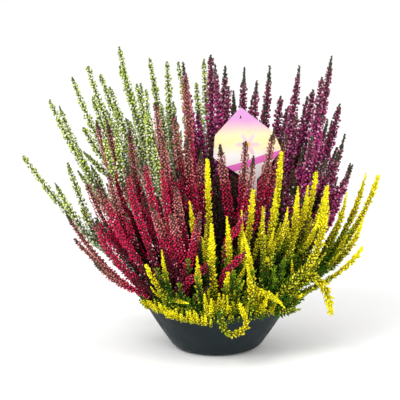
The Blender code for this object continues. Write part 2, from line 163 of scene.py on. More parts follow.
camera_data = bpy.data.cameras.new("camera")
camera_data.angle = 2 * math.atan(MIDDLE_PIXEL * PIXEL / CAMERA_AWAY)
camera_data.clip_end = CAMERA_REACH
eye = np.array([0, -math.cos(CAMERA_RISE), math.sin(CAMERA_RISE)]) * CAMERA_AWAY
picture_up = np.array([0, math.sin(CAMERA_RISE), math.cos(CAMERA_RISE)])
target = picture_up * (BASE_PIXEL[1] - MIDDLE_PIXEL) * PIXEL
target[0] = (MIDDLE_PIXEL - BASE_PIXEL[0]) * PIXEL
camera = link(camera_data, "camera")
aim(camera, eye, target)
bpy.context.scene.camera = camera

for name, place, size, power in LAMPS:
    lamp = bpy.data.lights.new(name, "AREA")
    lamp.shape = "DISK"
    lamp.size = size
    lamp.energy = power
    aim(link(lamp, name), place, LAMP_TARGET)

room = bpy.data.worlds.new("room")
room.use_nodes = True
room.node_tree.nodes["Background"].inputs["Color"].default_value = (1, 1, 1, 1)
room.node_tree.nodes["Background"].inputs["Strength"].default_value = ROOM_LIGHT
bpy.context.scene.world = room
bpy.context.scene.view_settings.view_transform = "Standard"

paper = Finish("pale_floor", Roughness=0.9)
paper.drive("Base Color", mix(paper.tree, cloud(paper.tree, 3), *FLOOR_GREYS))
corners = np.array([(-1, -1, 0), (1, -1, 0), (1, 1, 0), (-1, 1, 0)]) * FLOOR_HALF
floor = put_mesh("floor", corners, [(0, 1, 2), (0, 2, 3)], paper.material, smooth=False)

# The bowl: one thin shell moulded in charcoal plastic, with a rolled lip and a low foot ring.
# Its side is a soft curve from a rounded corner to the flared rim. The finish is matt and dusty.
FOOT_RADIUS = 41 * MM
FOOT_RING = (5 * MM, 3.4 * MM)
FOOT_RECESS = 0.8 * MM
CORNER_REACH = 18 * MM
CORNER_RISE = 13 * MM
CORNER_TURN = math.radians(62)
BELLY = (74.7 * MM, 31.1 * MM)
RIM_RADIUS = 92 * MM
BOWL_HEIGHT = 62 * MM
WALL = 2.0 * MM
FLOOR_THICKNESS = 2.2 * MM
RIM_BEAD = 1.6 * MM
RIM_BEAD_HEIGHT = 4 * MM
BEAD_ARC = (-75, 90)
BOWL_SIDES = 112
CHARCOAL = ((0.006, 0.012, 0.015), (0.009, 0.017, 0.021))
SCUFF = (0.07, 0.065, 0.055)
SCUFF_SHARE = 0.25
DUST = (0.12, 0.10, 0.08)
DUST_SHARE = 0.3


def sums(tree, operation, first, second=0.5, third=0.5):
    """The value socket of one sum."""
    node = tree.nodes.new("ShaderNodeMath")
    node.operation = operation
    for socket, value in zip(node.inputs, (first, second, third)):
        feed(tree, socket, value)
    return node.outputs[0]


def rise(tree, value, low, high, start=0.0, end=1.0):
    """The value socket of a smooth step from start to end, as the value goes from low to high."""
    node = tree.nodes.new("ShaderNodeMapRange")
    node.interpolation_type = "SMOOTHSTEP"
    sockets = ("Value", "From Min", "From Max", "To Min", "To Max")
    for socket, amount in zip(sockets, (value, low, high, start, end)):
        feed(tree, node.inputs[socket], amount)
    return node.outputs[0]


def ring_faces(rings, sides):
    """Triangles of a closed skin: a pole, rings of points, and a pole, numbered in that order."""
    i = np.arange(sides)
    j = (i + 1) % sides
    last = rings * sides + 1
    foot = np.stack([0 * i, 1 + j, 1 + i], axis=1)
    low = 1 + sides * np.arange(rings - 1)[:, None]
    lower = np.stack([low + i, low + j, low + sides + j], axis=2).reshape(-1, 3)
    upper = np.stack([low + i, low + sides + j, low + sides + i], axis=2).reshape(-1, 3)
    top = last - sides
    head = np.stack([top + i, top + j, 0 * i + last], axis=1)
    return np.concatenate([foot, lower, upper, head])


def drawn(start, middle, end, t):
    """A curve from start to end drawn to a middle point: their shares are (1 - t)^2, t^2 and 2t(1 - t)."""
    return (1 - t) ** 2 * start + 2 * t * (1 - t) * middle + t**2 * end


def bowl_side(steps):
    """A quarter of an ellipse from the foot's edge, then a curve drawn to the belly point, up to the rim."""
    turn = np.linspace(0, CORNER_TURN, steps // 2 + 1)
    corner = np.stack([FOOT_RADIUS + CORNER_REACH * np.sin(turn), CORNER_RISE * (1 - np.cos(turn))], axis=1)
    t = np.linspace(0, 1, steps + 1)[1:, None]
    rim = np.array([RIM_RADIUS, BOWL_HEIGHT])
    return np.concatenate([corner, drawn(corner[-1], np.array(BELLY), rim, t)])


def turned(profile, sides):
    """Points of a profile turned about Z: its first and last rows are poles, the rest are rings."""
    turn = 2 * math.pi * np.arange(sides) / sides
    out, height = profile[1:-1, :1], profile[1:-1, 1:]
    rings = np.stack([out * np.cos(turn), out * np.sin(turn), np.repeat(height, sides, axis=1)], axis=2)
    foot, top = [(0, 0, profile[0, 1])], [(0, 0, profile[-1, 1])]
    return np.concatenate([foot, rings.reshape(-1, 3), top])


def bowl_profile():
    """Foot ring, outer side, lip bead as an arc, then the inner side a wall's thickness in."""
    side = bowl_side(16)
    ring = [(FOOT_RADIUS - FOOT_RING[0], FOOT_RECESS), (FOOT_RADIUS - FOOT_RING[1], 0)]
    low = side[side[:, 1] < BOWL_HEIGHT - RIM_BEAD_HEIGHT - 1 * MM]
    turn = np.radians(np.linspace(*BEAD_ARC, 9))
    lip = [RIM_RADIUS, BOWL_HEIGHT - RIM_BEAD] + RIM_BEAD * np.stack([np.cos(turn), np.sin(turn)], axis=1)
    lip[0] = (RIM_RADIUS - RIM_BEAD, BOWL_HEIGHT - RIM_BEAD_HEIGHT)
    inner = side[::-1] - np.array([WALL, 0])
    inner = inner[(inner[:, 1] > FLOOR_THICKNESS) & (inner[:, 1] < BOWL_HEIGHT - WALL / 2)]
    inside = [(FOOT_RADIUS - WALL, FLOOR_THICKNESS), (0, FLOOR_THICKNESS)]
    return np.concatenate([[(0, FOOT_RECESS)], ring, low, lip, inner, inside])


charcoal = Finish("charcoal_plastic", Roughness=0.6, Specular_IOR_Level=0.16)
tree = charcoal.tree
scuffs = rise(tree, cloud(tree, 60, 6, 0.7), 0.58, 0.72)
dust = rise(tree, cloud(tree, 420, 4, 0.7), 0.6, 0.75)
worn = mix(tree, sums(tree, "MULTIPLY", scuffs, SCUFF_SHARE), mix(tree, cloud(tree, 14), *CHARCOAL), SCUFF)
charcoal.drive("Base Color", mix(tree, sums(tree, "MULTIPLY", dust, DUST_SHARE), worn, DUST))
charcoal.drive("Roughness", rise(tree, cloud(tree, 60, 6, 0.7), 0.35, 0.7, 0.42, 0.62))
charcoal.bump(cloud(tree, 900, 3), 0.15, 0.0004)
profile = bowl_profile()
skin = ring_faces(len(profile) - 2, BOWL_SIDES)
bowl = put_mesh("bowl_shell", turned(profile, BOWL_SIDES), skin, charcoal.material)
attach(bowl, "root")
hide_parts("bowl")

# The soil: dark peat, pressed in by hand to a little under the rim and left crumbly.
# Each stem and the tag's stake stand in it.
SOIL_TOP = 50 * MM
SOIL_MOUND = 4 * MM
SOIL_EDGE = 83.5 * MM
SOIL_GAP = 0.3 * MM
SOIL_RINGS = 26
SOIL_SIDES = 110
CRUMB = 1.5 * MM
CRUMB_SIZES = (18 * MM, 9 * MM)
CRUMB_WAVES = 7
SMOOTH_EDGE = 0.5 * MM
PEAT = ((0.010, 0.007, 0.005), (0.030, 0.019, 0.011))
PEAT_FIBRE = (0.07, 0.045, 0.026)


def crumbled(points, seed, sizes):
    """Noise for a field of points: sines of several lengths in random directions, summed and rounded off."""
    rng = np.random.default_rng(seed)
    total = np.zeros(len(points))
    for size in sizes:
        ways = rng.normal(size=(CRUMB_WAVES, 3))
        ways /= np.linalg.norm(ways, axis=1)[:, None]
        phase = rng.uniform(0, 2 * math.pi, CRUMB_WAVES)
        waves = np.sin(points @ ways.T * (2 * math.pi / size) + phase)
        total += waves.sum(axis=1) / CRUMB_WAVES * (size / sizes[0]) ** 0.5
    return total


def soil_points():
    """Rings from the floor up the side and in over the mound, whose height is a parabola plus crumbs."""
    base = FLOOR_THICKNESS + SOIL_GAP
    side = bowl_side(24)
    side = side[(side[:, 1] > base + SOIL_GAP) & (side[:, 1] < SOIL_TOP - 1 * MM)]
    wall = side - np.array([WALL + 2 * SOIL_GAP, 0])
    share = np.linspace(1, 0, SOIL_RINGS)
    top = np.stack([SOIL_EDGE * share, SOIL_TOP + SOIL_MOUND * (1 - share**2)], axis=1)
    profile = np.concatenate([[(0, base), (FOOT_RADIUS - SOIL_GAP, base)], wall, top])
    points = turned(profile, SOIL_SIDES)
    loose = (points[:, 2] > SOIL_TOP) & (np.linalg.norm(points[:, :2], axis=1) < SOIL_EDGE - SMOOTH_EDGE)
    points[:, 2] += loose * CRUMB * crumbled(points, 5, CRUMB_SIZES)
    return points, ring_faces(len(profile) - 2, SOIL_SIDES)


peat = Finish("peat", Roughness=0.95, Specular_IOR_Level=0.15)
tree = peat.tree
fibre = rise(tree, cloud(tree, 700, 5, 0.7), 0.45, 0.7)
peat.drive("Base Color", mix(tree, fibre, mix(tree, cloud(tree, 60), *PEAT), PEAT_FIBRE))
peat.bump(cloud(tree, 900, 5, 0.7), 0.7, 0.001)
soil = put_mesh("peat_filling", *soil_points(), peat.material)
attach(soil, "root")
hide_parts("soil")

# The tag: a sheet of printed plastic cut to five sides on a stake, with a small punched hole.
# The print is a soft sunrise of pink, yellow and white with a plain flower and a magenta band.
TAG_DEPTH = 26 * MM
TAG_THICKNESS = 1.0 * MM
TAG_CORNERS = ((45, 200), (80, 243), (70, 265), (29, 297), (-3, 261), (-5, 233))
TAG_ROUNDING = 3 * MM
HOLE_CENTRE = np.array([28.5, 284.5]) * MM
HOLE_RADIUS = 1.9 * MM
STAKE_WIDTH = 9 * MM
STAKE_THICKNESS = 0.9 * MM
STAKE_FOOT = 30 * MM
STAKE_POINT = 8 * MM
STAKE_OVERLAP = 12 * MM
STAKE_SIDES = 40
STAKE_SPINE = (0.02, 0.9)

# Each ring of a sheet: how far it lies from the hole to the edge, and its depth in half thicknesses
SHEET_RINGS = ((0.0, -1.0), (0.4, -1.0), (0.985, -1.0), (1.0, -0.7))

PRINT_WHITE = (0.97, 0.95, 0.95)
PRINT_PINK = (0.66, 0.30, 0.62)
PRINT_YELLOW = (0.95, 0.87, 0.46)
PRINT_MAGENTA = (0.86, 0.16, 0.60)
PETAL_PINK = (0.90, 0.60, 0.78)
FLOWER_HEART = (0.93, 0.62, 0.10)
YELLOW_FROM = (0.232, 0.252)
PINK_FROM = (0.256, 0.284)
BAND_EDGES = ((0.2105, 0.2115), (0.2205, 0.2195))
BAND_SLANT = 0.28
BAND_WAVE = (70, 0.0012)
FLOWER_CENTRE = (0.038, 0.250)
PETALS = 6.0
PETAL_REACH = 0.0105
PETAL_CUT = 0.0045
HEART_RADIUS = 0.0035


def rounded(corners, reach):
    """A closed outline with each corner cut back by the reach and joined with a curve drawn to the corner."""
    here = np.array(corners) * MM
    before = np.roll(here, 1, axis=0) - here
    after = np.roll(here, -1, axis=0) - here
    start = here + reach * before / np.linalg.norm(before, axis=1)[:, None]
    end = here + reach * after / np.linalg.norm(after, axis=1)[:, None]
    t = np.linspace(0, 1, 7)[None, :, None]
    return drawn(start[:, None], here[:, None], end[:, None], t).reshape(-1, 2)


def plate(outline, hole, thickness):
    """A flat sheet: rings that go from a hole out to the outline on the front, and back again behind."""
    sides = len(outline)
    rings = []
    for share, level in SHEET_RINGS + tuple((share, -level) for share, level in reversed(SHEET_RINGS)):
        row = (1 - share) * hole + share * outline
        depth = np.full(sides, TAG_DEPTH + level * thickness / 2)
        rings.append(np.stack([row[:, 0], depth, row[:, 1]], axis=1))
    i = np.arange(sides)
    j = (i + 1) % sides
    low = sides * np.arange(len(rings))[:, None]
    high = np.roll(low, -1, axis=0)
    faces = [np.stack([low + i, low + j, high + j], axis=2), np.stack([low + i, high + j, high + i], axis=2)]
    return np.concatenate(rings), np.concatenate(faces).reshape(-1, 3)


def length_along(points):
    """The length of a line up to each of its points."""
    return np.concatenate([[0], np.cumsum(np.linalg.norm(np.diff(points, axis=0), axis=1))])


def resampled(outline, count):
    """The same closed outline with evenly spaced points."""
    closed = np.concatenate([outline, outline[:1]])
    along = length_along(closed)
    wanted = np.linspace(0, along[-1], count, endpoint=False)
    return np.stack([np.interp(wanted, along, closed[:, k]) for k in range(2)], axis=1)


def tag_points():
    """The five-sided sheet round its hole, and the stake as a narrow strip behind its lower corner."""
    outline = rounded(TAG_CORNERS, TAG_ROUNDING)
    ray = outline - HOLE_CENTRE
    hole = HOLE_CENTRE + HOLE_RADIUS * ray / np.linalg.norm(ray, axis=1)[:, None]
    sheet, sheet_faces = plate(outline, hole, TAG_THICKNESS)
    x = TAG_CORNERS[0][0] * MM
    half = STAKE_WIDTH / 2
    top = TAG_CORNERS[0][1] * MM + STAKE_OVERLAP
    low = STAKE_FOOT + STAKE_POINT
    strip = np.array([(x, STAKE_FOOT), (x + half, low), (x + half, top), (x - half, top), (x - half, low)])
    strip = resampled(strip, STAKE_SIDES)
    centre = np.mean(strip, axis=0)
    stake, stake_faces = plate(strip, centre + (strip - centre) * STAKE_SPINE, STAKE_THICKNESS)
    return np.concatenate([sheet, stake]), np.concatenate([sheet_faces, stake_faces + len(sheet)])


def arithmetic(tree):
    """The sum, the difference and the product of two values, each as a node of the tree."""
    return (partial(sums, tree, kind) for kind in ("ADD", "SUBTRACT", "MULTIPLY"))


def print_finish():
    """Bands of ink by height and slant, and a six-petalled flower by angle round its centre."""
    ink = Finish("printed_plastic", Roughness=0.32, Specular_IOR_Level=0.4, Coat_Weight=0.15)
    tree = ink.tree
    plus, minus, times = arithmetic(tree)
    place = tree.nodes.new("ShaderNodeTexCoord")
    split = tree.nodes.new("ShaderNodeSeparateXYZ")
    tree.links.new(place.outputs["Object"], split.inputs[0])
    x, z = split.outputs["X"], split.outputs["Z"]
    high = plus(z, times(minus(cloud(tree, 30), 0.5), 0.012))
    sky = mix(tree, rise(tree, high, *PINK_FROM), PRINT_YELLOW, PRINT_PINK)
    ground = mix(tree, rise(tree, high, *YELLOW_FROM), PRINT_WHITE, sky)
    slant = minus(z, times(x, BAND_SLANT))
    slant = plus(slant, times(sums(tree, "SINE", times(x, BAND_WAVE[0])), BAND_WAVE[1]))
    band = times(rise(tree, slant, *BAND_EDGES[0]), rise(tree, slant, *BAND_EDGES[1]))
    banded = mix(tree, band, ground, PRINT_MAGENTA)
    dx = minus(x, FLOWER_CENTRE[0])
    dz = minus(z, FLOWER_CENTRE[1])
    away = sums(tree, "SQRT", plus(sums(tree, "POWER", dx, 2.0), sums(tree, "POWER", dz, 2.0)))
    turn = times(sums(tree, "ARCTAN2", dz, dx), PETALS)
    edge = sums(tree, "MULTIPLY_ADD", sums(tree, "COSINE", turn), PETAL_CUT, PETAL_REACH)
    petals = times(rise(tree, minus(edge, away), 0.0, 0.0008), 0.85)
    flower_heart_and_painted_shade = rise(tree, minus(HEART_RADIUS, away), 0.0, 0.0006)
    ink.drive("Base Color", mix(tree, flower_heart_and_painted_shade, mix(tree, petals, banded, PETAL_PINK), FLOWER_HEART))
    ink.bump(cloud(tree, 500, 2), 0.05, 0.0002)
    return ink.material


tag = put_mesh("tag_sheet", *tag_points(), print_finish(), smooth=False)
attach(tag, "root")
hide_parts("tag")

# How the plants grow: each spray is a leader, its side spikes and two leafy twigs, on smooth lines.
# All of them are then bent clear of each other, the bowl, the soil and the tag, little by little.
STEM_FREE = 55 * MM
STEM_FOOT = 28.3 * MM
SOIL_CRUMB = 1.2 * MM
GAP = 0.3 * MM
TWIGS = 2
TWIG_RADIUS = 4.8 * MM
TWIG_LENGTH = 42 * MM
TWIG_SPREAD = 0.8
TWIG_COURSE = (0.8, 0.5)
SLIGHT_BOW = 0.3
FIRST_FORK = 6 * MM
FORK_STEP = 8 * MM
FORK_SPREAD = 0.6
SAMPLE = 6 * MM
CLEARANCE = 0.9 * MM
SIDE_CLEARANCE = 2 * MM
ROUNDS = 240
REFRESH = 12
NEAR = 30 * MM
BEND_SHARES = (0.55, 1.0, 0.35)
SOIL_LIFT = 0.5
TAG_PUSH = 0.6

# Each plant: radius of a spike, share of the leader below the spikes, how far shoots bow outward
PLANTS = {
    "white": (5.2 * MM, 0.36, 0.25),
    "crimson": (5.4 * MM, 0.24, 0.30),
    "purple": (5.6 * MM, 0.32, 0.42),
    "yellow": (5.2 * MM, 0.22, 0.55),
}

# One row per spray, in millimetres: the plant, where the stem stands, then the leader and its side spikes.
# A spike is its tip, x to the right, y to the back and z up, or the points it passes with the tip last.
SPRAYS = (
    ("white", (-56, 12), (-239, 10, 239), (-197, -15, 212), (-186, 35, 225), (-167, -8, 177)),
    ("white", (-48, 30), (-207, 30, 305), (-197, 60, 292), (-175, 12, 258)),
    ("white", (-34, 44), (-162, 75, 340), (-180, 50, 330), (-157, 95, 298), (-166, 30, 271)),
    ("white", (-22, 26), (-122, 60, 367), (-147, 90, 328), (-134, 70, 315), (-108, 35, 277)),
    ("white", (-14, 48), (-85, 95, 348), (-122, 85, 339), (-101, 50, 322), (-63, 80, 345)),
    ("white", (0, 60), (-17, 80, 349), (-49, 95, 343), (-43, 65, 321), (-27, 110, 313)),
    ("white", (-30, 58), (-89, 165, 268), (-142, 130, 275), (-47, 170, 240), (-170, 110, 224)),
    ("crimson", (-50, -36), (-173, -55, 150), (-151, -38, 147), (-149, -68, 127), (-184, -22, 174)),
    ("crimson", (-62, -12), (-148, -30, 217), (-159, -10, 208), (-131, -48, 230)),
    ("crimson", (-44, 6), (-148, 0, 285), (-136, 20, 281), (-108, 5, 275)),
    ("crimson", (-36, -24), (-75, -12, 310), (-66, -28, 273), (-116, -38, 214), (-93, -26, 242)),
    ("crimson", (-14, 8), (-39, 5, 339), (-53, 0, 294), (-37, -18, 268), (-21, -8, 249)),
    ("crimson", (-22, -46), (-50, -58, 213), (-82, -70, 196), (-56, -76, 186), (-20, -74, 178)),
    ("crimson", (20, -10), (35, 0, 259), (70, 4, 273), (86, 12, 265), (45, -18, 245), (4, -2, 256)),
    ("purple", (0, 34), (-8, 58, 357), (10, 72, 341), (-42, 44, 350), (14, 46, 320)),
    ("purple", (18, 44), (34, 62, 341), (49, 48, 327), (44, 84, 301), (21, 92, 306)),
    ("purple", (28, 58), (66, 78, 340), (79, 62, 305), (61, 98, 286), (32, 146, 272), (91, 128, 280),
     (59, 164, 236)),
    ("purple", (42, 30), (102, 55, 344), (99, 38, 286), (113, 74, 302), (119, 50, 315)),
    ("purple", (54, 12), (141, 45, 358), (129, 32, 334), (117, 20, 265), (133, 6, 236)),
    ("purple", (54, 36), (153, 60, 295), (159, 38, 261), (167, 26, 226), (145, 98, 267), (114, 136, 228)),
    ("yellow", (-4, -38), (-12, -45, 245), (-33, -52, 196), (-20, -72, 156), (-7, -66, 170)),
    ("yellow", (22, -44), (45, -45, 207), (32, -60, 186), (56, -38, 185), (31, -76, 156)),
    ("yellow", (42, -34), (78, -30, 251), (73, -46, 211), (84, -56, 190), (58, -78, 132)),
    ("yellow", (60, -22), (122, -10, 222), (99, -36, 211), (112, -24, 209), (132, -26, 208), (124, -52, 178)),
    ("yellow", (65, 0), (198, 0, 217), (184, 20, 216), (161, 4, 195), (178, -26, 170)),
    ("yellow", (46, -46), (178, -35, 134), ((110, -66, 103), (125, -62, 97), (136, -60, 78), (139, -57, 56)),
     (104, -76, 84), (92, -52, 120)),
    ("yellow", (-26, -56), (-85, -75, 122), (-80, -62, 92), (-64, -60, 139), (-34, -96, 80)),
    ("yellow", (6, -66), (13, -90, 116),
     ((4, -98, 66), (11, -105, 46), (27, -106, 44), (36, -105, 56), (32, -104, 68), (27, -102, 80)),
     (32, -85, 107), (36, -74, 128)),
)


def evenly(points):
    """The same line with its points a sample apart."""
    along = length_along(points)
    wanted = np.linspace(0, along[-1], max(4, int(round(along[-1] / SAMPLE)) + 1))
    return np.stack([np.interp(wanted, along, points[:, k]) for k in range(3)], axis=1)


def bowed(start, passes, bow):
    """A smooth line from the start through the points it passes.

    To a tip alone it is one curve drawn to a middle point that leans out. Through more points each piece
    is a cubic, whose slope at a point is half the step between that point's neighbours.
    """
    t = np.linspace(0, 1, 60)[:, None]
    tip = passes[-1]
    if len(passes) == 1:
        middle = start + (tip - start) * np.array([0.5 + bow / 2, 0.5 + bow / 2, 0.5 - bow / 4])
        return evenly(drawn(start, middle, tip, t))
    knots = np.array([start, *passes])
    slopes = np.gradient(knots, axis=0)
    pieces = []
    for i in range(len(knots) - 1):
        ends = (2 * t**3 - 3 * t**2 + 1) * knots[i] + (3 * t**2 - 2 * t**3) * knots[i + 1]
        pieces.append(ends + (t**3 - 2 * t**2 + t) * slopes[i] + (t**3 - t**2) * slopes[i + 1])
    return evenly(np.concatenate(pieces))


@dataclass(eq=False)
class Shoot:
    """One axis that grows: its spray, role, points and thickness, and where on which shoot it forks."""

    spray: int
    role: str
    points: np.ndarray
    radius: float
    parent: "Shoot" = None
    fork: int = 0
    collar: float = 0.0


def plan_shoots():
    """Every leader, side spike and twig on its planned line."""
    shoots = []
    for number, (plant, root, *spikes) in enumerate(SPRAYS):
        radius, bare, bow = PLANTS[plant]
        foot = np.array([root[0] * MM, root[1] * MM, STEM_FREE])
        leader = Shoot(number, "leader", bowed(foot, np.atleast_2d(spikes[0]) * MM, bow), radius)
        leader.collar = bare * length_along(leader.points)[-1]
        shoots.append(leader)
        for k, passes in enumerate(spikes[1:]):
            fork = int(round((leader.collar + FIRST_FORK + FORK_STEP * k) / SAMPLE))
            points = bowed(leader.points[fork], np.atleast_2d(passes) * MM, bow)
            shoots.append(Shoot(number, "side", points, radius, leader, fork))
        for k in range(TWIGS):
            fork = 1 + int(round((leader.collar / SAMPLE - 3) * (k + 0.5) / TWIGS))
            turn = math.atan2(root[1], root[0]) + TWIG_SPREAD * (-1) ** k * (1 + number % 3)
            out, up = TWIG_COURSE
            reach = np.array([math.cos(turn) * out, math.sin(turn) * out, up]) * TWIG_LENGTH
            points = bowed(leader.points[fork], np.array([leader.points[fork] + reach]), SLIGHT_BOW)
            shoots.append(Shoot(number, "twig", points, TWIG_RADIUS, leader, fork))
    return shoots


def side_radius(height):
    """The bowl's outer radius at a height, read off a side of four flats as the model's bowl has."""
    side = bowl_side(4)
    return np.interp(height, side[:, 1], side[:, 0])


def clear_of_bowl(points, radius):
    """Moves that lift points off the rim, the bowl's side and the soil."""
    out = np.linalg.norm(points[:, :2], axis=1)
    ray = points[:, :2] / np.maximum(out, 1e-6)[:, None]
    move = np.zeros_like(points)
    rim = np.stack([out - RIM_RADIUS, points[:, 2] - BOWL_HEIGHT + WALL], axis=1)
    away = np.linalg.norm(rim, axis=1)
    short = np.maximum(radius + WALL + RIM_BEAD + CLEARANCE - away, 0)
    unit = rim / np.maximum(away, 1e-6)[:, None]
    move[:, :2] += ray * (unit[:, 0] * short)[:, None]
    move[:, 2] += unit[:, 1] * short
    low = (points[:, 2] < BOWL_HEIGHT) & (out > RIM_RADIUS)
    short = np.where(low, np.maximum(side_radius(points[:, 2]) + radius + SIDE_CLEARANCE - out, 0), 0)
    move[:, :2] += ray * short[:, None]
    floor = SOIL_TOP + SOIL_MOUND * (1 - (out / RIM_RADIUS) ** 2) + SOIL_CRUMB + radius + GAP
    move[:, 2] += np.where(out < RIM_RADIUS, np.maximum(floor - points[:, 2], 0) * SOIL_LIFT, 0)
    return move


def clear_of_tag(points, radius):
    """Moves that keep points in front of the tag or behind it, on the side they are on."""
    corners = np.array(TAG_CORNERS) * MM
    x, z = points[:, 0], points[:, 2]
    within = np.full(len(points), np.inf)
    for here, there in zip(corners, np.roll(corners, -1, axis=0)):
        side = there - here
        inward = np.array([-side[1], side[0]]) / np.linalg.norm(side)
        within = np.minimum(within, (x - here[0]) * inward[0] + (z - here[1]) * inward[1])
    stake = (np.abs(x - corners[0][0]) < STAKE_WIDTH / 2 + radius) & (z < corners[0][1])
    depth = points[:, 1] - TAG_DEPTH
    short = np.maximum(radius + TAG_THICKNESS + CLEARANCE - np.abs(depth), 0)
    move = np.zeros_like(points)
    move[:, 1] = np.where((within > -radius) | stake, np.sign(depth) * short * TAG_PUSH, 0)
    return move


def near_pairs(points, owner):
    """Pairs of points on different shoots that lie within reach of each other, the lower number first."""
    apart = np.zeros((len(points), len(points)), dtype=np.float32)
    for k in range(3):
        apart += (points[:, None, k] - points[None, :, k]).astype(np.float32) ** 2
    return np.nonzero(np.triu((apart < NEAR**2) & (owner[:, None] != owner[None])))


def bend_clear(shoots):
    """Bends the shoots apart little by little until they are clear of each other, the bowl and the tag."""
    sizes = [len(s.points) for s in shoots]
    first = np.concatenate([[0], np.cumsum(sizes)])
    owner = np.repeat(np.arange(len(shoots)), sizes)
    rows = zip(*[(s.spray, s.radius, s.parent is None) for s in shoots])
    spray, radius, rest = (np.array(row)[owner] for row in rows)
    free = np.concatenate([length_along(s.points) for s in shoots])
    planned = np.concatenate([s.points for s in shoots])
    anchors = [None if s.parent is None else first[shoots.index(s.parent)] + s.fork for s in shoots]
    points = planned.copy()
    for turn in range(ROUNDS):
        if turn % REFRESH == 0:
            a, b = near_pairs(points, owner)
            from_fork = np.where(rest[a], free[b], np.where(rest[b], free[a], np.minimum(free[a], free[b])))
            reach = radius[a] + radius[b] + CLEARANCE
            reach = np.where(spray[a] == spray[b], np.minimum(reach, FORK_SPREAD * from_fork), reach)
        apart = points[b] - points[a]
        gap = np.linalg.norm(apart, axis=1)
        short = np.maximum(reach - gap, 0)
        push = apart / np.maximum(gap, 1e-9)[:, None] * (0.5 * short)[:, None] * BEND_SHARES
        move = np.zeros_like(points)
        hits = np.zeros(len(points))
        for ends, way in ((b, push), (a, -push)):
            np.add.at(move, ends, way)
            np.add.at(hits, ends, short > 0)
        move /= np.maximum(np.sqrt(hits), 1)[:, None]
        move += clear_of_bowl(points, radius) + clear_of_tag(points, radius)
        bent = points + move - planned
        for i, anchor in enumerate(anchors):
            part = slice(first[i], first[i + 1])
            shift = bent[part]
            shift[0] = 0 if anchor is None else points[anchor] - planned[anchor]
            inner = shift.copy()
            inner[1:-1] = 0.25 * shift[:-2] + 0.5 * shift[1:-1] + 0.25 * shift[2:]
            inner[-1] = 0.5 * (shift[-1] + shift[-2])
            points[part] = planned[part] + inner
    for i, shoot in enumerate(shoots):
        shoot.points = points[first[i] : first[i + 1]]


shoots = plan_shoots()
bend_clear(shoots)

# Each spray: its number, its plant, its place among that plant's sprays, and its shoots with the leader first
sprays = []
for number, (plant, *_) in enumerate(SPRAYS):
    order = 1 + sum(row[0] == plant for row in SPRAYS[:number])
    sprays.append((number, plant, order, [s for s in shoots if s.spray == number]))

# The stems: woody below, with dark green leaves no bigger than scales and short leafy twigs.
# Each stem stands deep in the soil, and the spikes fork from its collar.
STEM_RADIUS = 1.5 * MM
COLLAR_RADIUS = 0.8 * MM
TWIG_TIP_RADIUS = 0.35 * MM
LEAN_SPREAD = 0.22
SIZE_SPREAD = (0.7, 1.28)

# Each plant's green: wood, grown leaf, fresh leaf. The wood and grown leaf are very dark, partly their own
# colour and partly painted shade for the depth of the bush
STEM_GREENS = {
    "white": ((0.014, 0.020, 0.008), (0.018, 0.060, 0.010), (0.09, 0.19, 0.03)),
    "crimson": ((0.012, 0.006, 0.005), (0.016, 0.016, 0.008), (0.065, 0.035, 0.020)),
    "purple": ((0.018, 0.010, 0.007), (0.024, 0.026, 0.010), (0.075, 0.048, 0.026)),
    "yellow": ((0.010, 0.012, 0.003), (0.026, 0.080, 0.004), (0.20, 0.34, 0.008)),
}


def places(points, along):
    """Points at lengths along a line, with the line's direction there and two more square to it."""
    total = length_along(points)
    course = np.gradient(points, axis=0)
    spots, ahead = (
        np.stack([np.interp(along, total, rows[:, k]) for k in range(3)], axis=1) for rows in (points, course)
    )
    ahead /= np.linalg.norm(ahead, axis=1)[:, None]
    side = np.cross(ahead, (0.3, 1.0, 0.1))
    side /= np.linalg.norm(side, axis=1)[:, None]
    return spots, ahead, side, np.cross(ahead, side)


def cut(points, low, high, pitch):
    """The stretch of a line between two lengths along it, with points about a pitch apart."""
    count = max(3, int(round((high - low) / pitch)) + 1)
    return places(points, np.linspace(low, high, count))[0]


def seed_shape(sides, height):
    """A closed seed of unit length along Z: a foot pole, one ring of unit radius, and a tip pole."""
    turn = 2 * math.pi * np.arange(sides) / sides
    ring = np.stack([np.cos(turn), np.sin(turn), 0 * turn + height], axis=1)
    return np.concatenate([[(0, 0, 0)], ring, [(0, 0, 1)]]), ring_faces(1, sides)


LEAF = seed_shape(3, 0.45)


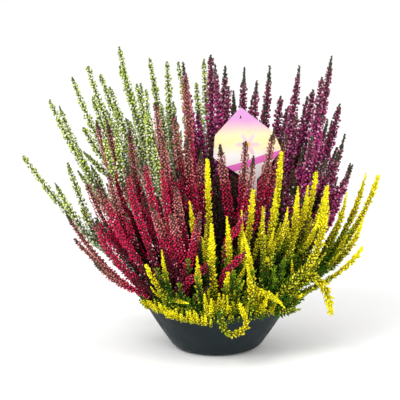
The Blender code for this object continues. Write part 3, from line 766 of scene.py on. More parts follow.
class Growth:
    """Collects the points, triangles and growth marks of many small shapes for one mesh.

    A growth mark is three shares: how far up its shoot a point is, a random number of its own
    shape, and how far from its own foot it is, which sets how much painted shade the point takes.
    """

    def __init__(self):
        self.points, self.faces, self.marks = [], [], []
        self.count = 0

    def add(self, points, faces, marks):
        """Takes in one more lot of points, their triangles and their marks."""
        self.points.append(points)
        self.faces.append(faces + self.count)
        self.marks.append(marks)
        self.count += len(points)

    def tube(self, points, radii, sides, up=(0.0, 1.0), own=0.15):
        """A round stem: a ring of the given radius square to the line at each point, closed at both ends."""
        spots, ahead, side, other = places(points, length_along(points))
        turn = 2 * math.pi * np.arange(sides) / sides
        wide = np.cos(turn)[None, :, None] * side[:, None] + np.sin(turn)[None, :, None] * other[:, None]
        rings = spots[:, None] + np.asarray(radii)[:, None, None] * wide
        skin = np.concatenate([spots[:1], rings.reshape(-1, 3), spots[-1:] + ahead[-1:] * radii[-1]])
        share = np.linspace(*up, len(points))
        share = np.concatenate([share[:1], np.repeat(share, sides), share[-1:]])
        marks = np.stack([share, np.full(len(share), 0.5), np.full(len(share), own)], axis=1)
        self.add(skin, ring_faces(len(points), sides), marks)

    def seeds(self, shape, feet, ahead, across, length, width, up, random):
        """Copies of a seed shape: each foot plus the shape's height along its axis and widths across it."""
        points, faces = shape
        skin = feet[:, None]
        third = np.cross(ahead, across)
        for column, size, way in ((2, length, ahead), (0, width, across), (1, width, third)):
            skin = skin + (points[None, :, column] * size[:, None])[:, :, None] * way[:, None]
        marks = np.stack(np.broadcast_arrays(up[:, None], random[:, None], points[None, :, 2]), axis=2)
        number = len(points) * np.arange(len(feet))
        faces = (faces[None] + number[:, None, None]).reshape(-1, 3)
        self.add(skin.reshape(-1, 3), faces, marks.reshape(-1, 3))

    def put(self, name, material):
        """Makes the mesh of all that was collected."""
        marks = np.clip(np.concatenate(self.marks), 0, 1)
        return put_mesh(name, np.concatenate(self.points), np.concatenate(self.faces), material, growth=marks)


def whorls(low, high, pitch, ranks, rng, jitter=0.35):
    """Lengths and angles of shapes set round a line: ranks to a whorl, each whorl turned half a step on."""
    count = max(2, int(round((high - low) / pitch)))
    level = np.repeat(np.linspace(low, high, count), ranks)
    angle = np.tile(2 * math.pi * np.arange(ranks) / ranks, count)
    angle = angle + np.repeat(math.pi / ranks * np.arange(count), ranks)
    level = level + rng.uniform(-jitter, jitter, len(level)) * pitch
    angle = angle + rng.normal(0, 0.5 / ranks, len(angle))
    return np.clip(level, low, high), angle


def studded(growth, points, low, high, shape, rng, pitch, ranks, out, lean, length, width, up=(0, 1)):
    """Sets seeds round a stretch of a line.

    out, lean, length and width are functions of the share up the stretch: the seed's foot stands that
    far out from the line, and its axis leans that angle away from it.
    """
    level, angle = whorls(low, high, pitch, ranks, rng)
    share = (level - low) / max(high - low, 1e-6)
    spots, ahead, side, other = places(points, level)
    radial = np.cos(angle)[:, None] * side + np.sin(angle)[:, None] * other
    tilt = lean(share) + rng.normal(0, LEAN_SPREAD, len(share))
    axis = np.cos(tilt)[:, None] * ahead + np.sin(tilt)[:, None] * radial
    size = rng.uniform(*SIZE_SPREAD, len(share))
    feet = spots + radial * out(share)[:, None]
    marks = up[0] + (up[1] - up[0]) * share
    across = np.cross(ahead, radial)
    lengths, widths = length(share) * size, width(share) * size
    growth.seeds(shape, feet, axis, across, lengths, widths, marks, rng.random(len(share)))


def leafy(
    growth, points, low, high, rng, reach=4.6 * MM, pitch=2.4 * MM, ranks=4, width=0.75 * MM, up=(0, 1)
):
    """Scale leaves and tiny needles all round a stretch of stem, shorter towards its end."""
    studded(
        growth, points, low, high, LEAF, rng, pitch, ranks,
        out=lambda s: 0.4 * MM + 0 * s,
        lean=lambda s: 1.05 - 0.4 * s,
        length=lambda s: reach * (1.15 - 0.45 * s),
        width=lambda s: width + 0 * s,
        up=up,
    )


def colour_group():
    """Colours a shoot by its growth marks, with pale and dark shapes among the rest.

    Foot, middle, crown and tip follow each other up the shoot in smooth steps. Each seed has a random tone of
    its own, and its foot is darkened towards a dark colour: painted shade between the seeds, which can weaken
    towards the top of the shoot.
    """
    group = bpy.data.node_groups.new("Growth colour", "ShaderNodeTree")
    plus, minus, times = arithmetic(group)
    for name in ("Foot", "Middle", "Crown", "Tip", "Pale", "Painted shade"):
        group.interface.new_socket(name, in_out="INPUT", socket_type="NodeSocketColor")
    for name in ("Middle from", "Crown from", "Tip from", "Pale share", "Painted shade share", "Painted shade fade"):
        group.interface.new_socket(name, in_out="INPUT", socket_type="NodeSocketFloat")
    group.interface.new_socket("Colour", in_out="OUTPUT", socket_type="NodeSocketColor")
    group.interface.new_socket("Height", in_out="OUTPUT", socket_type="NodeSocketFloat")
    given = group.nodes.new("NodeGroupInput").outputs
    marks = group.nodes.new("ShaderNodeAttribute")
    marks.attribute_name = "growth"
    split = group.nodes.new("ShaderNodeSeparateColor")
    group.links.new(marks.outputs["Color"], split.inputs[0])
    up, random, own = split.outputs[0], split.outputs[1], split.outputs[2]
    wave = sums(group, "MULTIPLY_ADD", random, 0.12, minus(up, 0.06))
    colour = given["Foot"]
    for name in ("Middle", "Crown", "Tip"):
        start = given[f"{name} from"]
        colour = mix(group, rise(group, wave, start, plus(start, 0.16)), colour, given[name])
    pale = sums(group, "LESS_THAN", sums(group, "FRACT", times(random, 17.3)), given["Pale share"])
    colour = mix(group, times(pale, rise(group, own, 0.2, 0.9)), colour, given["Pale"])
    shade = rise(group, sums(group, "FRACT", times(random, 7.9)), 0.0, 1.0, 0.72, 1.2)
    shade = times(shade, rise(group, cloud(group, 120, 2), 0.3, 0.7, 0.85, 1.12))
    grey = group.nodes.new("ShaderNodeCombineColor")
    for index in range(3):
        group.links.new(shade, grey.inputs[index])
    colour = mix(group, 1.0, colour, grey.outputs[0], "MULTIPLY")
    # Painted shade: the foot of each seed, and each stem, darkened towards the dark colour, fully below two
    # fifths up the shoot and by the fade's share at its top
    flower_heart_and_painted_shade = times(rise(group, own, 0.05, 0.62, 1.0, 0.0), given["Painted shade share"])
    flower_heart_and_painted_shade = times(flower_heart_and_painted_shade, rise(group, up, 0.4, 1.0, 1.0, given["Painted shade fade"]))
    result = group.nodes.new("NodeGroupOutput")
    group.links.new(mix(group, flower_heart_and_painted_shade, colour, given["Painted shade"]), result.inputs["Colour"])
    group.links.new(cloud(group, 1500, 2), result.inputs["Height"])
    return group


GROWTH_COLOUR = colour_group()


def plant_finish(name, colours, starts, pale=0.1, flower_heart_and_painted_shade=0.8, fade=1.0, roughness=0.6, shine=0.25):
    """A living surface: the growth colours in their order, and where along the shoot each takes over."""
    finish = Finish(name, Roughness=roughness, Specular_IOR_Level=shine)
    node = finish.tree.nodes.new("ShaderNodeGroup")
    node.node_tree = GROWTH_COLOUR
    # The last colour, its share and its fade set the painted shade at the foot of each seed.
    values = [(*colour, 1) for colour in colours] + [*starts, pale, flower_heart_and_painted_shade, fade]
    for socket, value in zip(node.inputs, values):
        socket.default_value = value
    finish.drive("Base Color", node.outputs["Colour"])
    finish.bump(node.outputs["Height"], 0.25, 0.0003)
    return finish.material


def green_finish(name, wood, leaf, fresh):
    """Wood at the foot, grown leaf above it, and fresh leaf at the top; the wood colour also paints shade at
    the foot of each leaf.
    """
    colours = (wood, leaf, leaf, fresh, fresh, wood)
    return plant_finish(name, colours, (0.1, 0.5, 0.8), pale=0.12, flower_heart_and_painted_shade=0.7, roughness=0.65, shine=0.12)


def stem_growth(number, mine):
    """One spray's stem from its foot deep in the soil to its collar, with its twigs."""
    root = SPRAYS[number][1]
    leader = mine[0]
    rng = np.random.default_rng(100 + number)
    growth = Growth()
    upper = cut(leader.points, 0, leader.collar + 4 * MM, 8 * MM)
    line = np.concatenate([[(root[0] * MM, root[1] * MM, STEM_FOOT)], upper])
    growth.tube(line, np.linspace(STEM_RADIUS, COLLAR_RADIUS, len(line)), 6)
    leafy(growth, leader.points, 3 * MM, leader.collar, rng)
    for twig in mine:
        if twig.role == "twig":
            growth.tube(twig.points, np.linspace(COLLAR_RADIUS, TWIG_TIP_RADIUS, len(twig.points)), 4)
            leafy(growth, twig.points, 4 * MM, length_along(twig.points)[-1], rng, reach=5.2 * MM)
    return growth


greens = {plant: green_finish(f"{plant}_leaves", *row) for plant, row in STEM_GREENS.items()}
for number, plant, order, mine in sprays:
    stem = stem_growth(number, mine).put(f"{plant}_leafy_stem_{order}", greens[plant])
    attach(stem, "root")
    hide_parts(f"{plant}_stem_{order}")

# The flower spikes of three plants: closed buds round a leafy stalk, in whorls that part as it grows.
# Each spike ends in a blunt green point of scale leaves. Shorter spikes grow beside the main ones.
BUD = seed_shape(4, 0.55)

# Each kind: whorl pitch, buds to a whorl, bud length and width, stalk, green point, companions to a spike
BUDS = {
    "white": (3.5 * MM, 5, 3.6 * MM, 1.65 * MM, 1.6 * MM, 12 * MM, 1),
    "crimson": (2.4 * MM, 6, 3.1 * MM, 1.25 * MM, 2.4 * MM, 11 * MM, 3),
    "purple": (3.5 * MM, 6, 4.5 * MM, 1.8 * MM, 2.8 * MM, 21 * MM, 3),
}

# Foot, middle, crown and tip up the spike, then the pale buds among them and the dark painted shade at the
# foot of each bud
BUD_COLOURS = {
    "white": ((0.44, 0.54, 0.32), (0.60, 0.68, 0.40), (0.57, 0.68, 0.13), (0.045, 0.13, 0.014),
              (0.94, 0.95, 0.80), (0.015, 0.052, 0.006)),
    "crimson": ((0.15, 0.005, 0.020), (0.74, 0.012, 0.092), (0.63, 0.22, 0.185), (0.070, 0.056, 0.026),
                (0.84, 0.30, 0.40), (0.026, 0.008, 0.008)),
    "purple": ((0.13, 0.012, 0.060), (0.52, 0.050, 0.225), (0.31, 0.056, 0.125), (0.040, 0.070, 0.020),
               (0.66, 0.40, 0.52), (0.024, 0.008, 0.014)),
}
BUD_STARTS = {"white": (0.10, 0.42, 0.88), "crimson": (0.13, 0.52, 0.80), "purple": (0.08, 0.6, 0.84)}
BUD_PALE = {"white": 0.35, "crimson": 0.10, "purple": 0.19}
FULLER = {"white": 1.0, "crimson": 1.12, "purple": 1.12}
GREEN_MARK = (0.97, 1.0)
POINT_SIZES = (0.35, 0.6, 0.85, 1.1)
POINT_RADII = (1.9 * MM, 0.6 * MM)
BULGE = 0.14
BULGE_LENGTH = 18 * MM
SIDE_BARE = 2 * MM

# The sprays, by number, with fewer companions than their kind; low sprays are thin and have none
OPEN_SPRAYS = {0: 0, 11: 2, 12: 0, 13: 0}
THIN_BELOW = 160 * MM
THIN_MARKS = (0.4, 0.9)
THIN_SHARE = 0.74
THIN_PITCH = 1.6

# Companions: where on the spike they start and end, how far out they run in millimetres, and their fullness
COMPANION_FROM = (0.06, 0.28)
COMPANION_TO = (0.4, 0.72)
COMPANION_AWAY = (8, 12)
COMPANION_SIZE = (0.75, 0.95)
COMPANION_AGE = {"white": 0.75, "crimson": 0.5, "purple": 0.75}
COMPANION_RANKS = 5


def spike(growth, points, low, high, plant, radius, rng, up=(0, 0.9), sparse=1.0, ranks=0):
    """A budded stretch of stalk with a neck, an uneven middle and a taper, then a blunt leafy point.

    Its fullness climbs in a straight line from the neck to 1 and falls in one to the top, times a sine.
    """
    pitch, full_ranks, length, width, stalk, point, _ = BUDS[plant]
    point = min(point, 0.3 * (high - low)) * rng.choice(POINT_SIZES)
    top = high - point
    phase = rng.uniform(0, 2 * math.pi)

    def fullness(s):
        swell = 1 + BULGE * np.sin(phase + 2 * math.pi * s * (top - low) / BULGE_LENGTH)
        return np.clip(0.45 + 4 * s, 0, 1) * np.clip(0.5 + 2.4 * (1 - s), 0, 1) * swell

    core = cut(points, low, top + 2 * MM, 7 * MM)
    growth.tube(core, stalk * fullness(np.linspace(0, 1, len(core))), 4, up=up, own=0.0)
    studded(
        growth, points, low, top, BUD, rng, pitch * sparse, ranks or full_ranks,
        out=lambda s: (radius - 0.72 * length) * fullness(s),
        lean=lambda s: 1.05 - 0.35 * s,
        length=lambda s: length * (0.6 + 0.4 * fullness(s)),
        width=lambda s: width * (0.6 + 0.4 * fullness(s)),
        up=up,
    )
    if plant == "white":
        leafy(growth, points, low, top, rng, reach=4.4 * MM, pitch=3.6 * MM, ranks=3, up=GREEN_MARK)
    tip = cut(points, top - 2 * MM, high - 0.8 * MM, 4 * MM)
    growth.tube(tip, np.linspace(*POINT_RADII, len(tip)), 5, up=GREEN_MARK, own=0.3)
    studded(
        growth, points, top - 4 * MM, high - 2.2 * MM, LEAF, rng, 2.0 * MM, 5,
        out=lambda s: 1.4 * MM * (1 - 0.75 * s),
        lean=lambda s: 0.8 - 0.5 * s,
        length=lambda s: 3.4 * MM * (1 - 0.25 * s),
        width=lambda s: 1.2 * MM * (1 - 0.2 * s),
        up=GREEN_MARK,
    )


def companion(shoot, low, start, end, away, rng):
    """A line beside a shoot, from one share of its length to another.

    Its distance out is the width times a share that rises fast from 0 to 1 and then slowly to 1.25.
    """
    total = length_along(shoot.points)[-1]
    along = np.linspace(low + start * (total - low), low + end * (total - low), 24)
    spots, _, side, other = places(shoot.points, along)
    turn = rng.uniform(0, 2 * math.pi)
    t = np.linspace(0, 1, 24)[:, None]
    spread = away * (1 - (1 - t) ** 2.2) * (1 + 0.25 * t)
    return spots + spread * (math.cos(turn) * side + math.sin(turn) * other)


def spikes_of(mine):
    """A spray's leader and side spikes, each with the lengths at which its buds or scales begin and end."""
    for shoot in mine:
        if shoot.role != "twig":
            yield shoot, shoot.collar or SIDE_BARE, length_along(shoot.points)[-1]


def bunch_growth(number, plant, mine):
    """One spray's spikes from its collar up, with their companions. A low spray is thin and has none."""
    thin = mine[0].points[-1][2] < THIN_BELOW
    rng = np.random.default_rng(200 + number)
    growth = Growth()
    for shoot, low, total in spikes_of(mine):
        if thin:
            radius = THIN_SHARE * shoot.radius
            spike(growth, shoot.points, low, total, plant, radius, rng, up=THIN_MARKS, sparse=THIN_PITCH)
            continue
        spike(growth, shoot.points, low, total, plant, FULLER[plant] * shoot.radius, rng)
        for _ in range(OPEN_SPRAYS.get(number, BUDS[plant][6])):
            start = rng.uniform(*COMPANION_FROM)
            end = rng.uniform(*COMPANION_TO)
            line = companion(shoot, low, start, end, rng.uniform(*COMPANION_AWAY) * MM, rng)
            radius = FULLER[plant] * shoot.radius * rng.uniform(*COMPANION_SIZE)
            marks = (0, COMPANION_AGE[plant])
            high = length_along(line)[-1]
            spike(growth, line, 4 * MM, high, plant, radius, rng, up=marks, ranks=COMPANION_RANKS)
    return growth


blooms = {}
for plant, colours in BUD_COLOURS.items():
    blooms[plant] = plant_finish(f"{plant}_buds", colours, BUD_STARTS[plant], pale=BUD_PALE[plant], flower_heart_and_painted_shade=0.9)
for number, plant, order, mine in sprays:
    if plant == "yellow":
        continue
    bunch = bunch_growth(number, plant, mine).put(f"{plant}_bud_spikes_{order}", blooms[plant])
    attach(bunch, "root")
    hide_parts(f"{plant}_spikes_{order}")

# Stray spikes: white ones forward between the crimson ones, crimson ones at the front, and purple ones
# low behind the yellow shoots. They grow from the soil like the rest and fill the gaps between them.
STRAY_RADIUS = {"white": 4.6 * MM, "crimson": 5.0 * MM, "purple": 5.0 * MM}
STRAY_AGE = {"white": 0.86, "crimson": 0.6, "purple": 0.8}
STRAY_BARE = {"white": 0.42, "crimson": 0.22, "purple": 0.25}

# Each row is the points a spike passes, in millimetres, from the soil to its tip
STRAYS = {
    "white": (
        ((-42, -6, 54), (-121, -22, 172), (-128, -22, 228), (-138, -18, 268)),
        ((-38, 0, 54), (-108, -16, 190), (-120, -14, 250), (-123, -10, 282)),
        ((-30, 4, 54), (-70, -20, 176), (-80, -20, 236), (-84, -10, 300)),
        ((-32, -6, 54), (-56, -34, 150), (-68, -34, 214), (-78, -28, 262)),
        ((-16, 36, 54), (-84, 50, 200), (-95, 56, 322)),
        ((-14, 30, 54), (-76, 38, 190), (-88, 42, 316)),
        ((-16, 42, 54), (-56, 58, 200), (-70, 68, 294)),
        ((-12, 44, 54), (-44, 60, 200), (-55, 70, 297)),
        ((-6, 48, 54), (-26, 62, 200), (-33, 72, 288)),
    ),
    "crimson": (
        ((-42, -50, 54), (-50, -66, 80), (-32, -64, 126), (-20, -62, 186)),
        ((-30, -52, 54), (-38, -68, 92), (-22, -72, 110), (-5, -72, 128)),
        ((-20, -54, 54), (-22, -76, 84), (-6, -82, 98)),
        ((4, -50, 54), (8, -72, 104), (22, -74, 124), (38, -74, 140)),
        ((8, -40, 54), (12, -58, 140), (24, -58, 162), (36, -58, 184)),
        ((-48, -42, 54), (-63, -54, 85), (-81, -56, 136), (-100, -54, 193), (-109, -50, 237)),
        ((-44, -44, 54), (-55, -56, 92), (-66, -60, 149), (-79, -56, 199), (-86, -50, 243)),
        ((-50, -38, 54), (-69, -52, 83), (-96, -54, 121), (-120, -52, 161), (-137, -46, 205)),
        ((-38, -44, 54), (-47, -58, 98), (-55, -60, 155), (-62, -56, 199), (-66, -50, 235)),
        ((-54, -36, 54), (-75, -50, 79), (-106, -52, 104), (-132, -50, 136), (-152, -46, 171)),
        ((-34, -12, 54), (-57, -10, 100), (-74, -8, 136), (-91, -2, 190)),
        ((-40, -14, 54), (-66, -14, 84), (-86, -12, 110), (-114, -8, 154)),
    ),
    "purple": (
        ((46, 22, 54), (80, 26, 130), (86, 30, 214)),
        ((50, 20, 54), (100, 24, 130), (118, 28, 218)),
        ((52, 26, 54), (118, 30, 140), (142, 34, 194)),
        ((44, 30, 54), (66, 34, 140), (70, 40, 206)),
        ((52, 16, 54), (92, 14, 120), (106, 14, 186)),
        ((14, 22, 54), (12, 14, 120), (8, 12, 206)),
        ((30, 20, 54), (40, 16, 120), (48, 12, 184)),
        ((50, 22, 54), (110, 20, 120), (128, 18, 172)),
        ((48, 18, 54), (84, 22, 120), (92, 22, 192)),
        ((50, 28, 54), (100, 36, 140), (108, 40, 240)),
        ((46, 34, 54), (78, 44, 140), (84, 48, 244)),
        ((50, 24, 54), (92, 28, 130), (98, 28, 202)),
        ((6, 20, 54), (0, 18, 120), (-2, 16, 196)),
        ((54, 24, 54), (128, 34, 140), (150, 40, 206)),
        ((54, 20, 54), (120, 24, 130), (138, 26, 214)),
        ((54, 30, 54), (136, 44, 140), (158, 54, 200)),
        ((52, 30, 54), (116, 46, 160), (132, 54, 262)),
        ((0, 14, 54), (-9, 10, 120), (-15, 8, 192)),
        ((36, 16, 54), (58, 14, 120), (66, 12, 190)),
        ((16, 12, 54), (26, 8, 110), (30, 6, 170)),
        ((-6, 8, 54), (-20, 2, 110), (-29, 0, 160)),
        ((4, 30, 54), (6, 44, 220), (2, 48, 290), (-3, 50, 347)),
        ((12, 30, 54), (18, 46, 180), (22, 52, 302)),
        ((36, 50, 54), (52, 64, 180), (60, 70, 296)),
        ((54, 24, 54), (120, 26, 135), (148, 28, 174), (159, 30, 198), (165, 30, 226)),
        ((54, 26, 54), (112, 28, 140), (140, 30, 190), (150, 32, 242)),
    ),
}


def smooth_route(points):
    """A line through the given points in order, on curves whose slope at each is that of its neighbours."""
    knots = np.array(points) * MM
    return bowed(knots[0], knots[1:], SLIGHT_BOW)


for plant, routes in STRAYS.items():
    rng = np.random.default_rng(60)
    growth = Growth()
    for route in routes:
        line = smooth_route(route)
        total = length_along(line)[-1]
        marks = (0.02, STRAY_AGE[plant])
        spike(growth, line, STRAY_BARE[plant] * total, total, plant, STRAY_RADIUS[plant], rng, up=marks)
    stray = growth.put(f"{plant}_stray_spikes", blooms[plant])
    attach(stray, "root")

# The yellow heather's shoots: scale leaves and tiny side shoots packed up each stem, with no flowers.
# New growth at the top is lemon yellow, older growth olive and ochre, and the foot green.
SPRIG = seed_shape(4, 0.5)
# Foot, middle, crown and tip up the shoot, the pale sprigs, and the dark brown painted shade at the foot of
# each sprig
YELLOW_COLOURS = ((0.050, 0.17, 0.008), (0.35, 0.41, 0.010), (0.73, 0.64, 0.010), (0.97, 0.88, 0.008),
                  (0.95, 0.92, 0.08), (0.12, 0.070, 0.006))
YELLOW_STARTS = (0.08, 0.34, 0.66)
YELLOW_STALK = 2.2 * MM
YELLOW_TAPER = 36 * MM
SPRIG_PITCH = 2.45 * MM
COMPANY_FROM = 95 * MM
NEEDLES_FROM = 80 * MM
GREEN_FROM = 90 * MM
GREEN_OVER = 120 * MM
GREEN_FURTHER = 0.1
AGE_SPREAD = (-0.12, 0.08)

# Radius of a shoot against the model's: long ones, short ones, their companions, hanging and hooked ones.
# The last two also have their sprigs further apart and stay thick to the end.
LONG_SHARE = 0.98
SHORT_SHARE = 0.78
COMPANION_SHARE = 0.85
HANGING_SHARE = 1.35
HOOKED_SHARE = 0.95
HANGING_PITCH = 1.15
HANGING_END = 0.6

# The companions of a long shoot: where on it they start and end, and how far out they run in millimetres
SPRIGGED_FROM = (0, 0.2)
SPRIGGED_TO = (0.4, 0.75)
SPRIGGED_AWAY = (9, 13)


def yellow_shoot(growth, points, low, high, radius, rng, up=(0, 1), sparse=1.0, end=0.15):
    """A stem hidden by leaning sprigs that taper to a share at its end, with green needles lower down."""
    aged = rng.uniform(*AGE_SPREAD) - GREEN_FURTHER * np.clip((points[-1][0] - GREEN_FROM) / GREEN_OVER, 0, 1)
    up = (up[0] + aged, up[1] + aged)
    reach = high - low

    def fullness(s):
        return np.clip(0.6 + 5 * s, 0, 1) * np.clip(end + (1 - s) * reach / YELLOW_TAPER, 0, 1)

    stalk = cut(points, low, high - 1 * MM, 7 * MM)
    growth.tube(stalk, YELLOW_STALK / sparse * fullness(np.linspace(0, 1, len(stalk))), 4, up=up, own=0.0)
    studded(
        growth, points, low, high - 1.5 * MM, SPRIG, rng, SPRIG_PITCH * sparse, 5,
        out=lambda s: 0.22 * radius * fullness(s),
        lean=lambda s: 1.2 - 0.65 * s,
        length=lambda s: 0.95 * radius * (0.22 + 0.78 * fullness(s)),
        width=lambda s: 1.35 * MM * (0.5 + 0.5 * fullness(s)),
        up=up,
    )
    if reach > NEEDLES_FROM:
        half = low + 0.55 * reach
        green = (0, 0.05)
        leafy(growth, points, low, half, rng, 1.4 * radius, pitch=4 * MM, ranks=3, width=0.9 * MM, up=green)


def yellow_growth(number, mine):
    """One spray's yellow shoots, with two companions to each long one.

    A shoot that dips below the rim hangs or hooks, and stays thick to its end.
    """
    rng = np.random.default_rng(300 + number)
    growth = Growth()
    for shoot, low, total in spikes_of(mine):
        if np.min(shoot.points[:, 2]) < BOWL_HEIGHT - RIM_BEAD_HEIGHT:
            share = HANGING_SHARE if shoot.points[-1][2] < BOWL_HEIGHT else HOOKED_SHARE
            radius = share * shoot.radius
            yellow_shoot(growth, shoot.points, low, total, radius, rng, sparse=HANGING_PITCH, end=HANGING_END)
            continue
        long = total > COMPANY_FROM
        share = LONG_SHARE if long else SHORT_SHARE
        yellow_shoot(growth, shoot.points, low, total, share * shoot.radius, rng)
        for _ in range(2 if long else 0):
            start = rng.uniform(*SPRIGGED_FROM)
            end = rng.uniform(*SPRIGGED_TO)
            line = companion(shoot, low, start, end, rng.uniform(*SPRIGGED_AWAY) * MM, rng)
            radius = COMPANION_SHARE * shoot.radius
            yellow_shoot(growth, line, 3 * MM, length_along(line)[-1], radius, rng, up=(-0.05, 0.85))
    return growth


# The painted shade at each sprig's foot is full low on a shoot and weakens to 0.3 of it at the top.
yellow = plant_finish(
    "yellow_scale_leaves", YELLOW_COLOURS, YELLOW_STARTS,
    pale=0.12, flower_heart_and_painted_shade=1.0, fade=0.3, roughness=0.65, shine=0.11,
)
for number, plant, order, mine in sprays:
    if plant != "yellow":
        continue
    bunch = yellow_growth(number, mine).put(f"yellow_leaf_shoots_{order}", yellow)
    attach(bunch, "root")
    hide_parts(f"yellow_shoots_{order}")

# Stray yellow shoots: more of the tall ones before and between the sprays, and green ones at the right.
# The last one arches over the tufts at the front of the rim.
# Each row is the shoot's radius, how far up it is still green, and the points it passes from the soil.
YELLOW_STRAYS = (
    (6.0, 0.0, ((-3, -58, 54), (-5, -80, 100), (-7, -78, 174))),
    (5.2, 0.2, ((-12, -62, 54), (-20, -84, 84), (-24, -86, 136))),
    (4.6, 0.5, ((-10, -50, 54), (-13, -60, 120), (-14, -60, 169))),
    (5.0, 0.1, ((14, -56, 54), (16, -66, 110), (12, -60, 179))),
    (4.9, 0.0, ((38, -56, 54), (43, -78, 90), (40, -82, 125), (32, -80, 163))),
    (5.2, 0.0, ((36, -66, 54), (42, -92, 84), (36, -92, 128))),
    (4.0, 0.4, ((50, -46, 54), (56, -54, 120), (55, -50, 189))),
    (6.4, 0.0, ((56, -48, 54), (78, -66, 86), (104, -62, 110), (124, -52, 142), (135, -34, 212))),
    (5.0, 0.9, ((62, -8, 54), (96, -14, 100), (124, -14, 146))),
    (5.0, 0.8, ((60, -18, 54), (100, -28, 84), (134, -26, 126))),
    (5.0, 0.9, ((62, 6, 54), (90, 8, 110), (118, 8, 160))),
    (5.4, 0.6, ((52, -30, 54), (84, -48, 84), (104, -52, 106), (120, -50, 120))),
    (5.0, 0.7, ((40, -30, 54), (58, -48, 100), (72, -50, 150))),
    (5.0, 0.8, ((52, -26, 54), (80, -38, 110), (100, -38, 156))),
    (6.6, 1.1, ((58, -34, 54), (84, -58, 64), (108, -66, 84))),
    (6.6, 1.1, ((54, -40, 54), (78, -66, 62), (96, -76, 68))),
    (6.0, 1.1, ((60, -30, 54), (92, -50, 66), (116, -56, 88))),
    (6.4, 1.1, ((56, -38, 54), (82, -64, 72), (100, -72, 88))),
    (6.8, 1.1, ((58, -36, 54), (80, -60, 74), (98, -62, 92))),
    (6.8, 1.1, ((56, -30, 54), (84, -50, 80), (104, -54, 100))),
    (6.8, 1.1, ((60, -40, 54), (86, -66, 60), (102, -70, 66))),
    (5.4, 0.0, ((30, -68, 66), (42, -84, 91), (58, -90, 90), (74, -88, 80), (82, -86, 71))),
)

rng = np.random.default_rng(41)
growth = Growth()
for radius, age, route in YELLOW_STRAYS:
    line = smooth_route(route)
    marks = (-0.7 * age, 1.05 - 0.6 * age)
    yellow_shoot(growth, line, 6 * MM, length_along(line)[-1], radius * MM, rng, up=marks)
stray = growth.put("yellow_stray_shoots", yellow)
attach(stray, "root")

# The inner growth: dark leafy shoots without flowers that fill each plant behind its spikes.
# Their dark colour is partly their own and partly painted shade for the depth of the bush.
# They stand in the soil round each root, and the tall ones follow the spray's own leader.
INNER_PURPLE = ((0.020, 0.014, 0.007), (0.034, 0.040, 0.010), (0.095, 0.085, 0.026))
INNER_SHOOTS = {"white": 3, "crimson": 6, "purple": 9, "yellow": 3}
INNER_ENDS = {"white": (0.3, 0.5), "crimson": (0.35, 0.7), "purple": (0.4, 0.7), "yellow": (0.35, 0.6)}
LOW_SHOOTS = {"white": 4, "crimson": 4, "purple": 10, "yellow": 6}
LOW_LENGTHS = {"white": (50, 100), "crimson": (40, 80), "purple": (60, 140), "yellow": (40, 90)}
TALL = 160 * MM
FOOT_SPREAD = 9
FOOT_REACH = 80 * MM
LEAN_REACH = 110 * MM
LEANS = (0.1, 0.62)
SWAY = 0.14
DARK_RADII = (1.8 * MM, 0.8 * MM)
INNER_AWAY = (8, 26)
REACH_AT_RIM = 84 * MM
REACH_RISE = 0.45

# Dark shoots placed one by one in gaps: brown ones under the tag, olive ones among the low purple spikes
INNER_ROUTES = {
    "crimson": (
        ((2, 0, 54), (-2, 0, 130), (-6, 2, 205)),
        ((8, 2, 54), (6, 0, 130), (4, 2, 212)),
        ((12, 0, 54), (14, 0, 130), (13, 2, 206)),
        ((16, 2, 54), (20, 2, 130), (22, 4, 210)),
        ((4, 4, 54), (2, 4, 120), (0, 6, 190)),
        ((14, 4, 54), (11, 4, 120), (9, 6, 192)),
    ),
    "purple": (
        ((50, 20, 54), (70, 24, 120), (82, 26, 196)),
        ((52, 20, 54), (82, 26, 120), (98, 28, 200)),
        ((54, 22, 54), (94, 28, 120), (114, 30, 196)),
        ((48, 16, 54), (62, 18, 120), (70, 20, 186)),
        ((54, 24, 54), (108, 30, 130), (132, 34, 196)),
        ((52, 18, 54), (78, 22, 120), (90, 22, 170), (94, 22, 214)),
    ),
}


def standing(rng, root, length):
    """A line from the soil beside a root, which leans outward by how far out it stands."""
    foot = np.array(root) * MM + rng.normal(0, FOOT_SPREAD, 2) * MM
    foot *= min(1, FOOT_REACH / max(np.linalg.norm(foot), 1e-6))
    out = np.linalg.norm(foot)
    ray = foot / max(out, 1e-6)
    lean = np.clip(out / LEAN_REACH, *LEANS) * ray + rng.normal(0, SWAY, 2)
    start = np.array([*foot, SOIL_TOP])
    tip = start + length * np.array([*lean, math.sqrt(max(0.2, 1 - lean @ lean))])
    widest = REACH_AT_RIM + REACH_RISE * (tip[2] - BOWL_HEIGHT)
    tip[:2] *= min(1, widest / np.linalg.norm(tip[:2]))
    return bowed(start, np.array([tip]), SLIGHT_BOW)


def dark_shoot(growth, line, rng):
    """A thick dark stem with long sparse leaves."""
    total = length_along(line)[-1]
    stem = cut(line, 0, total, 12 * MM)
    growth.tube(stem, np.linspace(*DARK_RADII, len(stem)), 4, own=0.0)
    leafy(growth, line, 2 * MM, total, rng, reach=7.5 * MM, pitch=5 * MM, ranks=4, width=1.1 * MM)


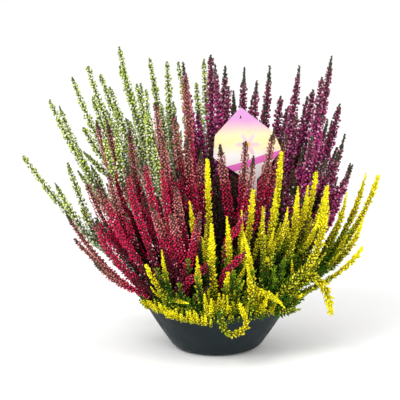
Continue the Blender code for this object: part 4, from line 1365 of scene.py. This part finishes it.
inner_greens = {**greens, "purple": green_finish("purple_inner_leaves", *INNER_PURPLE)}
for plant in LOW_SHOOTS:
    rng = np.random.default_rng(len(plant) * 31)
    growth = Growth()
    for number, kind, _, mine in sprays:
        if kind != plant:
            continue
        for _ in range(LOW_SHOOTS[plant]):
            dark_shoot(growth, standing(rng, SPRAYS[number][1], rng.uniform(*LOW_LENGTHS[plant]) * MM), rng)
        tall = mine[0].points[-1][2] > TALL
        for _ in range(INNER_SHOOTS[plant] if tall else 0):
            away = rng.uniform(*INNER_AWAY) * MM
            dark_shoot(growth, companion(mine[0], 0, 0.02, rng.uniform(*INNER_ENDS[plant]), away, rng), rng)
    for route in INNER_ROUTES.get(plant, ()):
        dark_shoot(growth, smooth_route(route), rng)
    low_growth = growth.put(f"{plant}_low_shoots", inner_greens[plant])
    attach(low_growth, "root")

# The rim: short shoots crowd over it all round and hide it, yellow at the left front and greener elsewhere.
# Each row is an arc round the bowl set with short upright tufts, and more stand between the tall shoots.
LEFT_END = -154
RIGHT_END = -12
TUFT_RADIUS = 0.52
TUFT_SIZES = (0.8, 1.3)
TUFT_LEANS = (0.0, 0.45)
FRONT_SHOOTS = 80
FRONT_RADIUS = 5.4 * MM
FRONT_OUT = (50, 84)
FRONT_LENGTHS = (26, 46)
FRONT_LEAN = (0.15, 0.5)
FRONT_BOW = 0.4
FRONT_FRESH = (0.6, 1.2)
LESS_FRESH = 0.7
GREEN_BEFORE = math.radians(-105)

# Each row: bearings in degrees, distance out and heights in millimetres, tufts, their height, and their marks
RIM_ROWS = (
    (LEFT_END, -94, 97, 62, 51, 32, 11, (0.4, 1.2)),
    (LEFT_END, -92, 93, 63, 58, 28, 9, (-0.1, 0.45)),
    (-150, -94, 85, 63, 60, 20, 10, (-0.3, 0.2)),
    (-150, -94, 76, 62, 62, 15, 11, (-0.4, 0.1)),
    (-96, RIGHT_END, 95, 52, 62, 28, 10, (-0.15, 0.5)),
    (-92, RIGHT_END, 89, 58, 66, 24, 14, (-0.05, 0.65)),
    (-92, RIGHT_END, 81, 62, 68, 18, 18, (0.05, 0.9)),
    (-50, -14, 103, 68, 78, 14, 9, (-0.4, 0.25)),
    (-44, -10, 108, 78, 88, 10, 10, (-0.4, 0.25)),
    (RIGHT_END, 90, 93, 62, 62, 24, 11, (-0.1, 0.35)),
    (90, 208, 93, 62, 62, 26, 11, (-0.3, 0.2)),
    (RIGHT_END, 208, 96, 56, 58, 44, 9, (-0.3, 0.2)),
)


def arc_route(start, end, out, low, high):
    """Points round the bowl between two bearings at one distance out, on an even climb from low to high."""
    share = np.linspace(0, 1, 14)
    turn = np.radians(start + (end - start) * share)
    return np.stack([out * np.cos(turn), out * np.sin(turn), low + (high - low) * share], axis=1)


def tufted(growth, line, count, height, up, rng):
    """Short upright shoots set along a line, which lean a little outward from the bowl."""
    total = length_along(line)[-1]
    for along in np.linspace(2 * MM, total - 2 * MM, count):
        foot = places(line, np.array([along]))[0][0] + rng.normal(0, 1.2, 3) * MM
        ray = np.array([*foot[:2], 0]) / np.linalg.norm(foot[:2])
        size = height * rng.uniform(*TUFT_SIZES)
        tip = foot + size * (np.array([0, 0, 1]) + ray * rng.uniform(*TUFT_LEANS) + rng.normal(0, SWAY, 3))
        short = bowed(foot - 4 * MM * ray, np.array([tip]), SLIGHT_BOW)
        yellow_shoot(growth, short, 0, length_along(short)[-1], TUFT_RADIUS * height, rng, up=up)


def front_shoot(growth, rng):
    """A short shoot that stands between the tall ones in the front half, leaning out by its distance out."""
    turn = math.radians(rng.uniform(LEFT_END, RIGHT_END))
    out = rng.uniform(*FRONT_OUT)
    ray = np.array([math.cos(turn), math.sin(turn)])
    foot = np.array([*(out * MM * ray), SOIL_TOP + 4 * MM])
    lean = FRONT_LEAN[0] + FRONT_LEAN[1] * ((out - FRONT_OUT[0]) / (FRONT_OUT[1] - FRONT_OUT[0])) ** 2
    tip = foot + rng.uniform(*FRONT_LENGTHS) * MM * np.array([*(lean * ray + rng.normal(0, 0.12, 2)), 0.9])
    short = bowed(foot, np.array([tip]), FRONT_BOW)
    fresh = rng.uniform(*FRONT_FRESH) - (LESS_FRESH if turn < GREEN_BEFORE else 0)
    yellow_shoot(growth, short, 3 * MM, length_along(short)[-1], FRONT_RADIUS, rng, up=(fresh - 0.65, fresh))


rng = np.random.default_rng(91)
growth = Growth()
for start, end, out, low, high, count, height, up in RIM_ROWS:
    tufted(growth, smooth_route(arc_route(start, end, out, low, high)), count, height * MM, up, rng)
for _ in range(FRONT_SHOOTS):
    front_shoot(growth, rng)
rim_band = growth.put("rim_yellow_tufts", yellow)
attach(rim_band, "root")
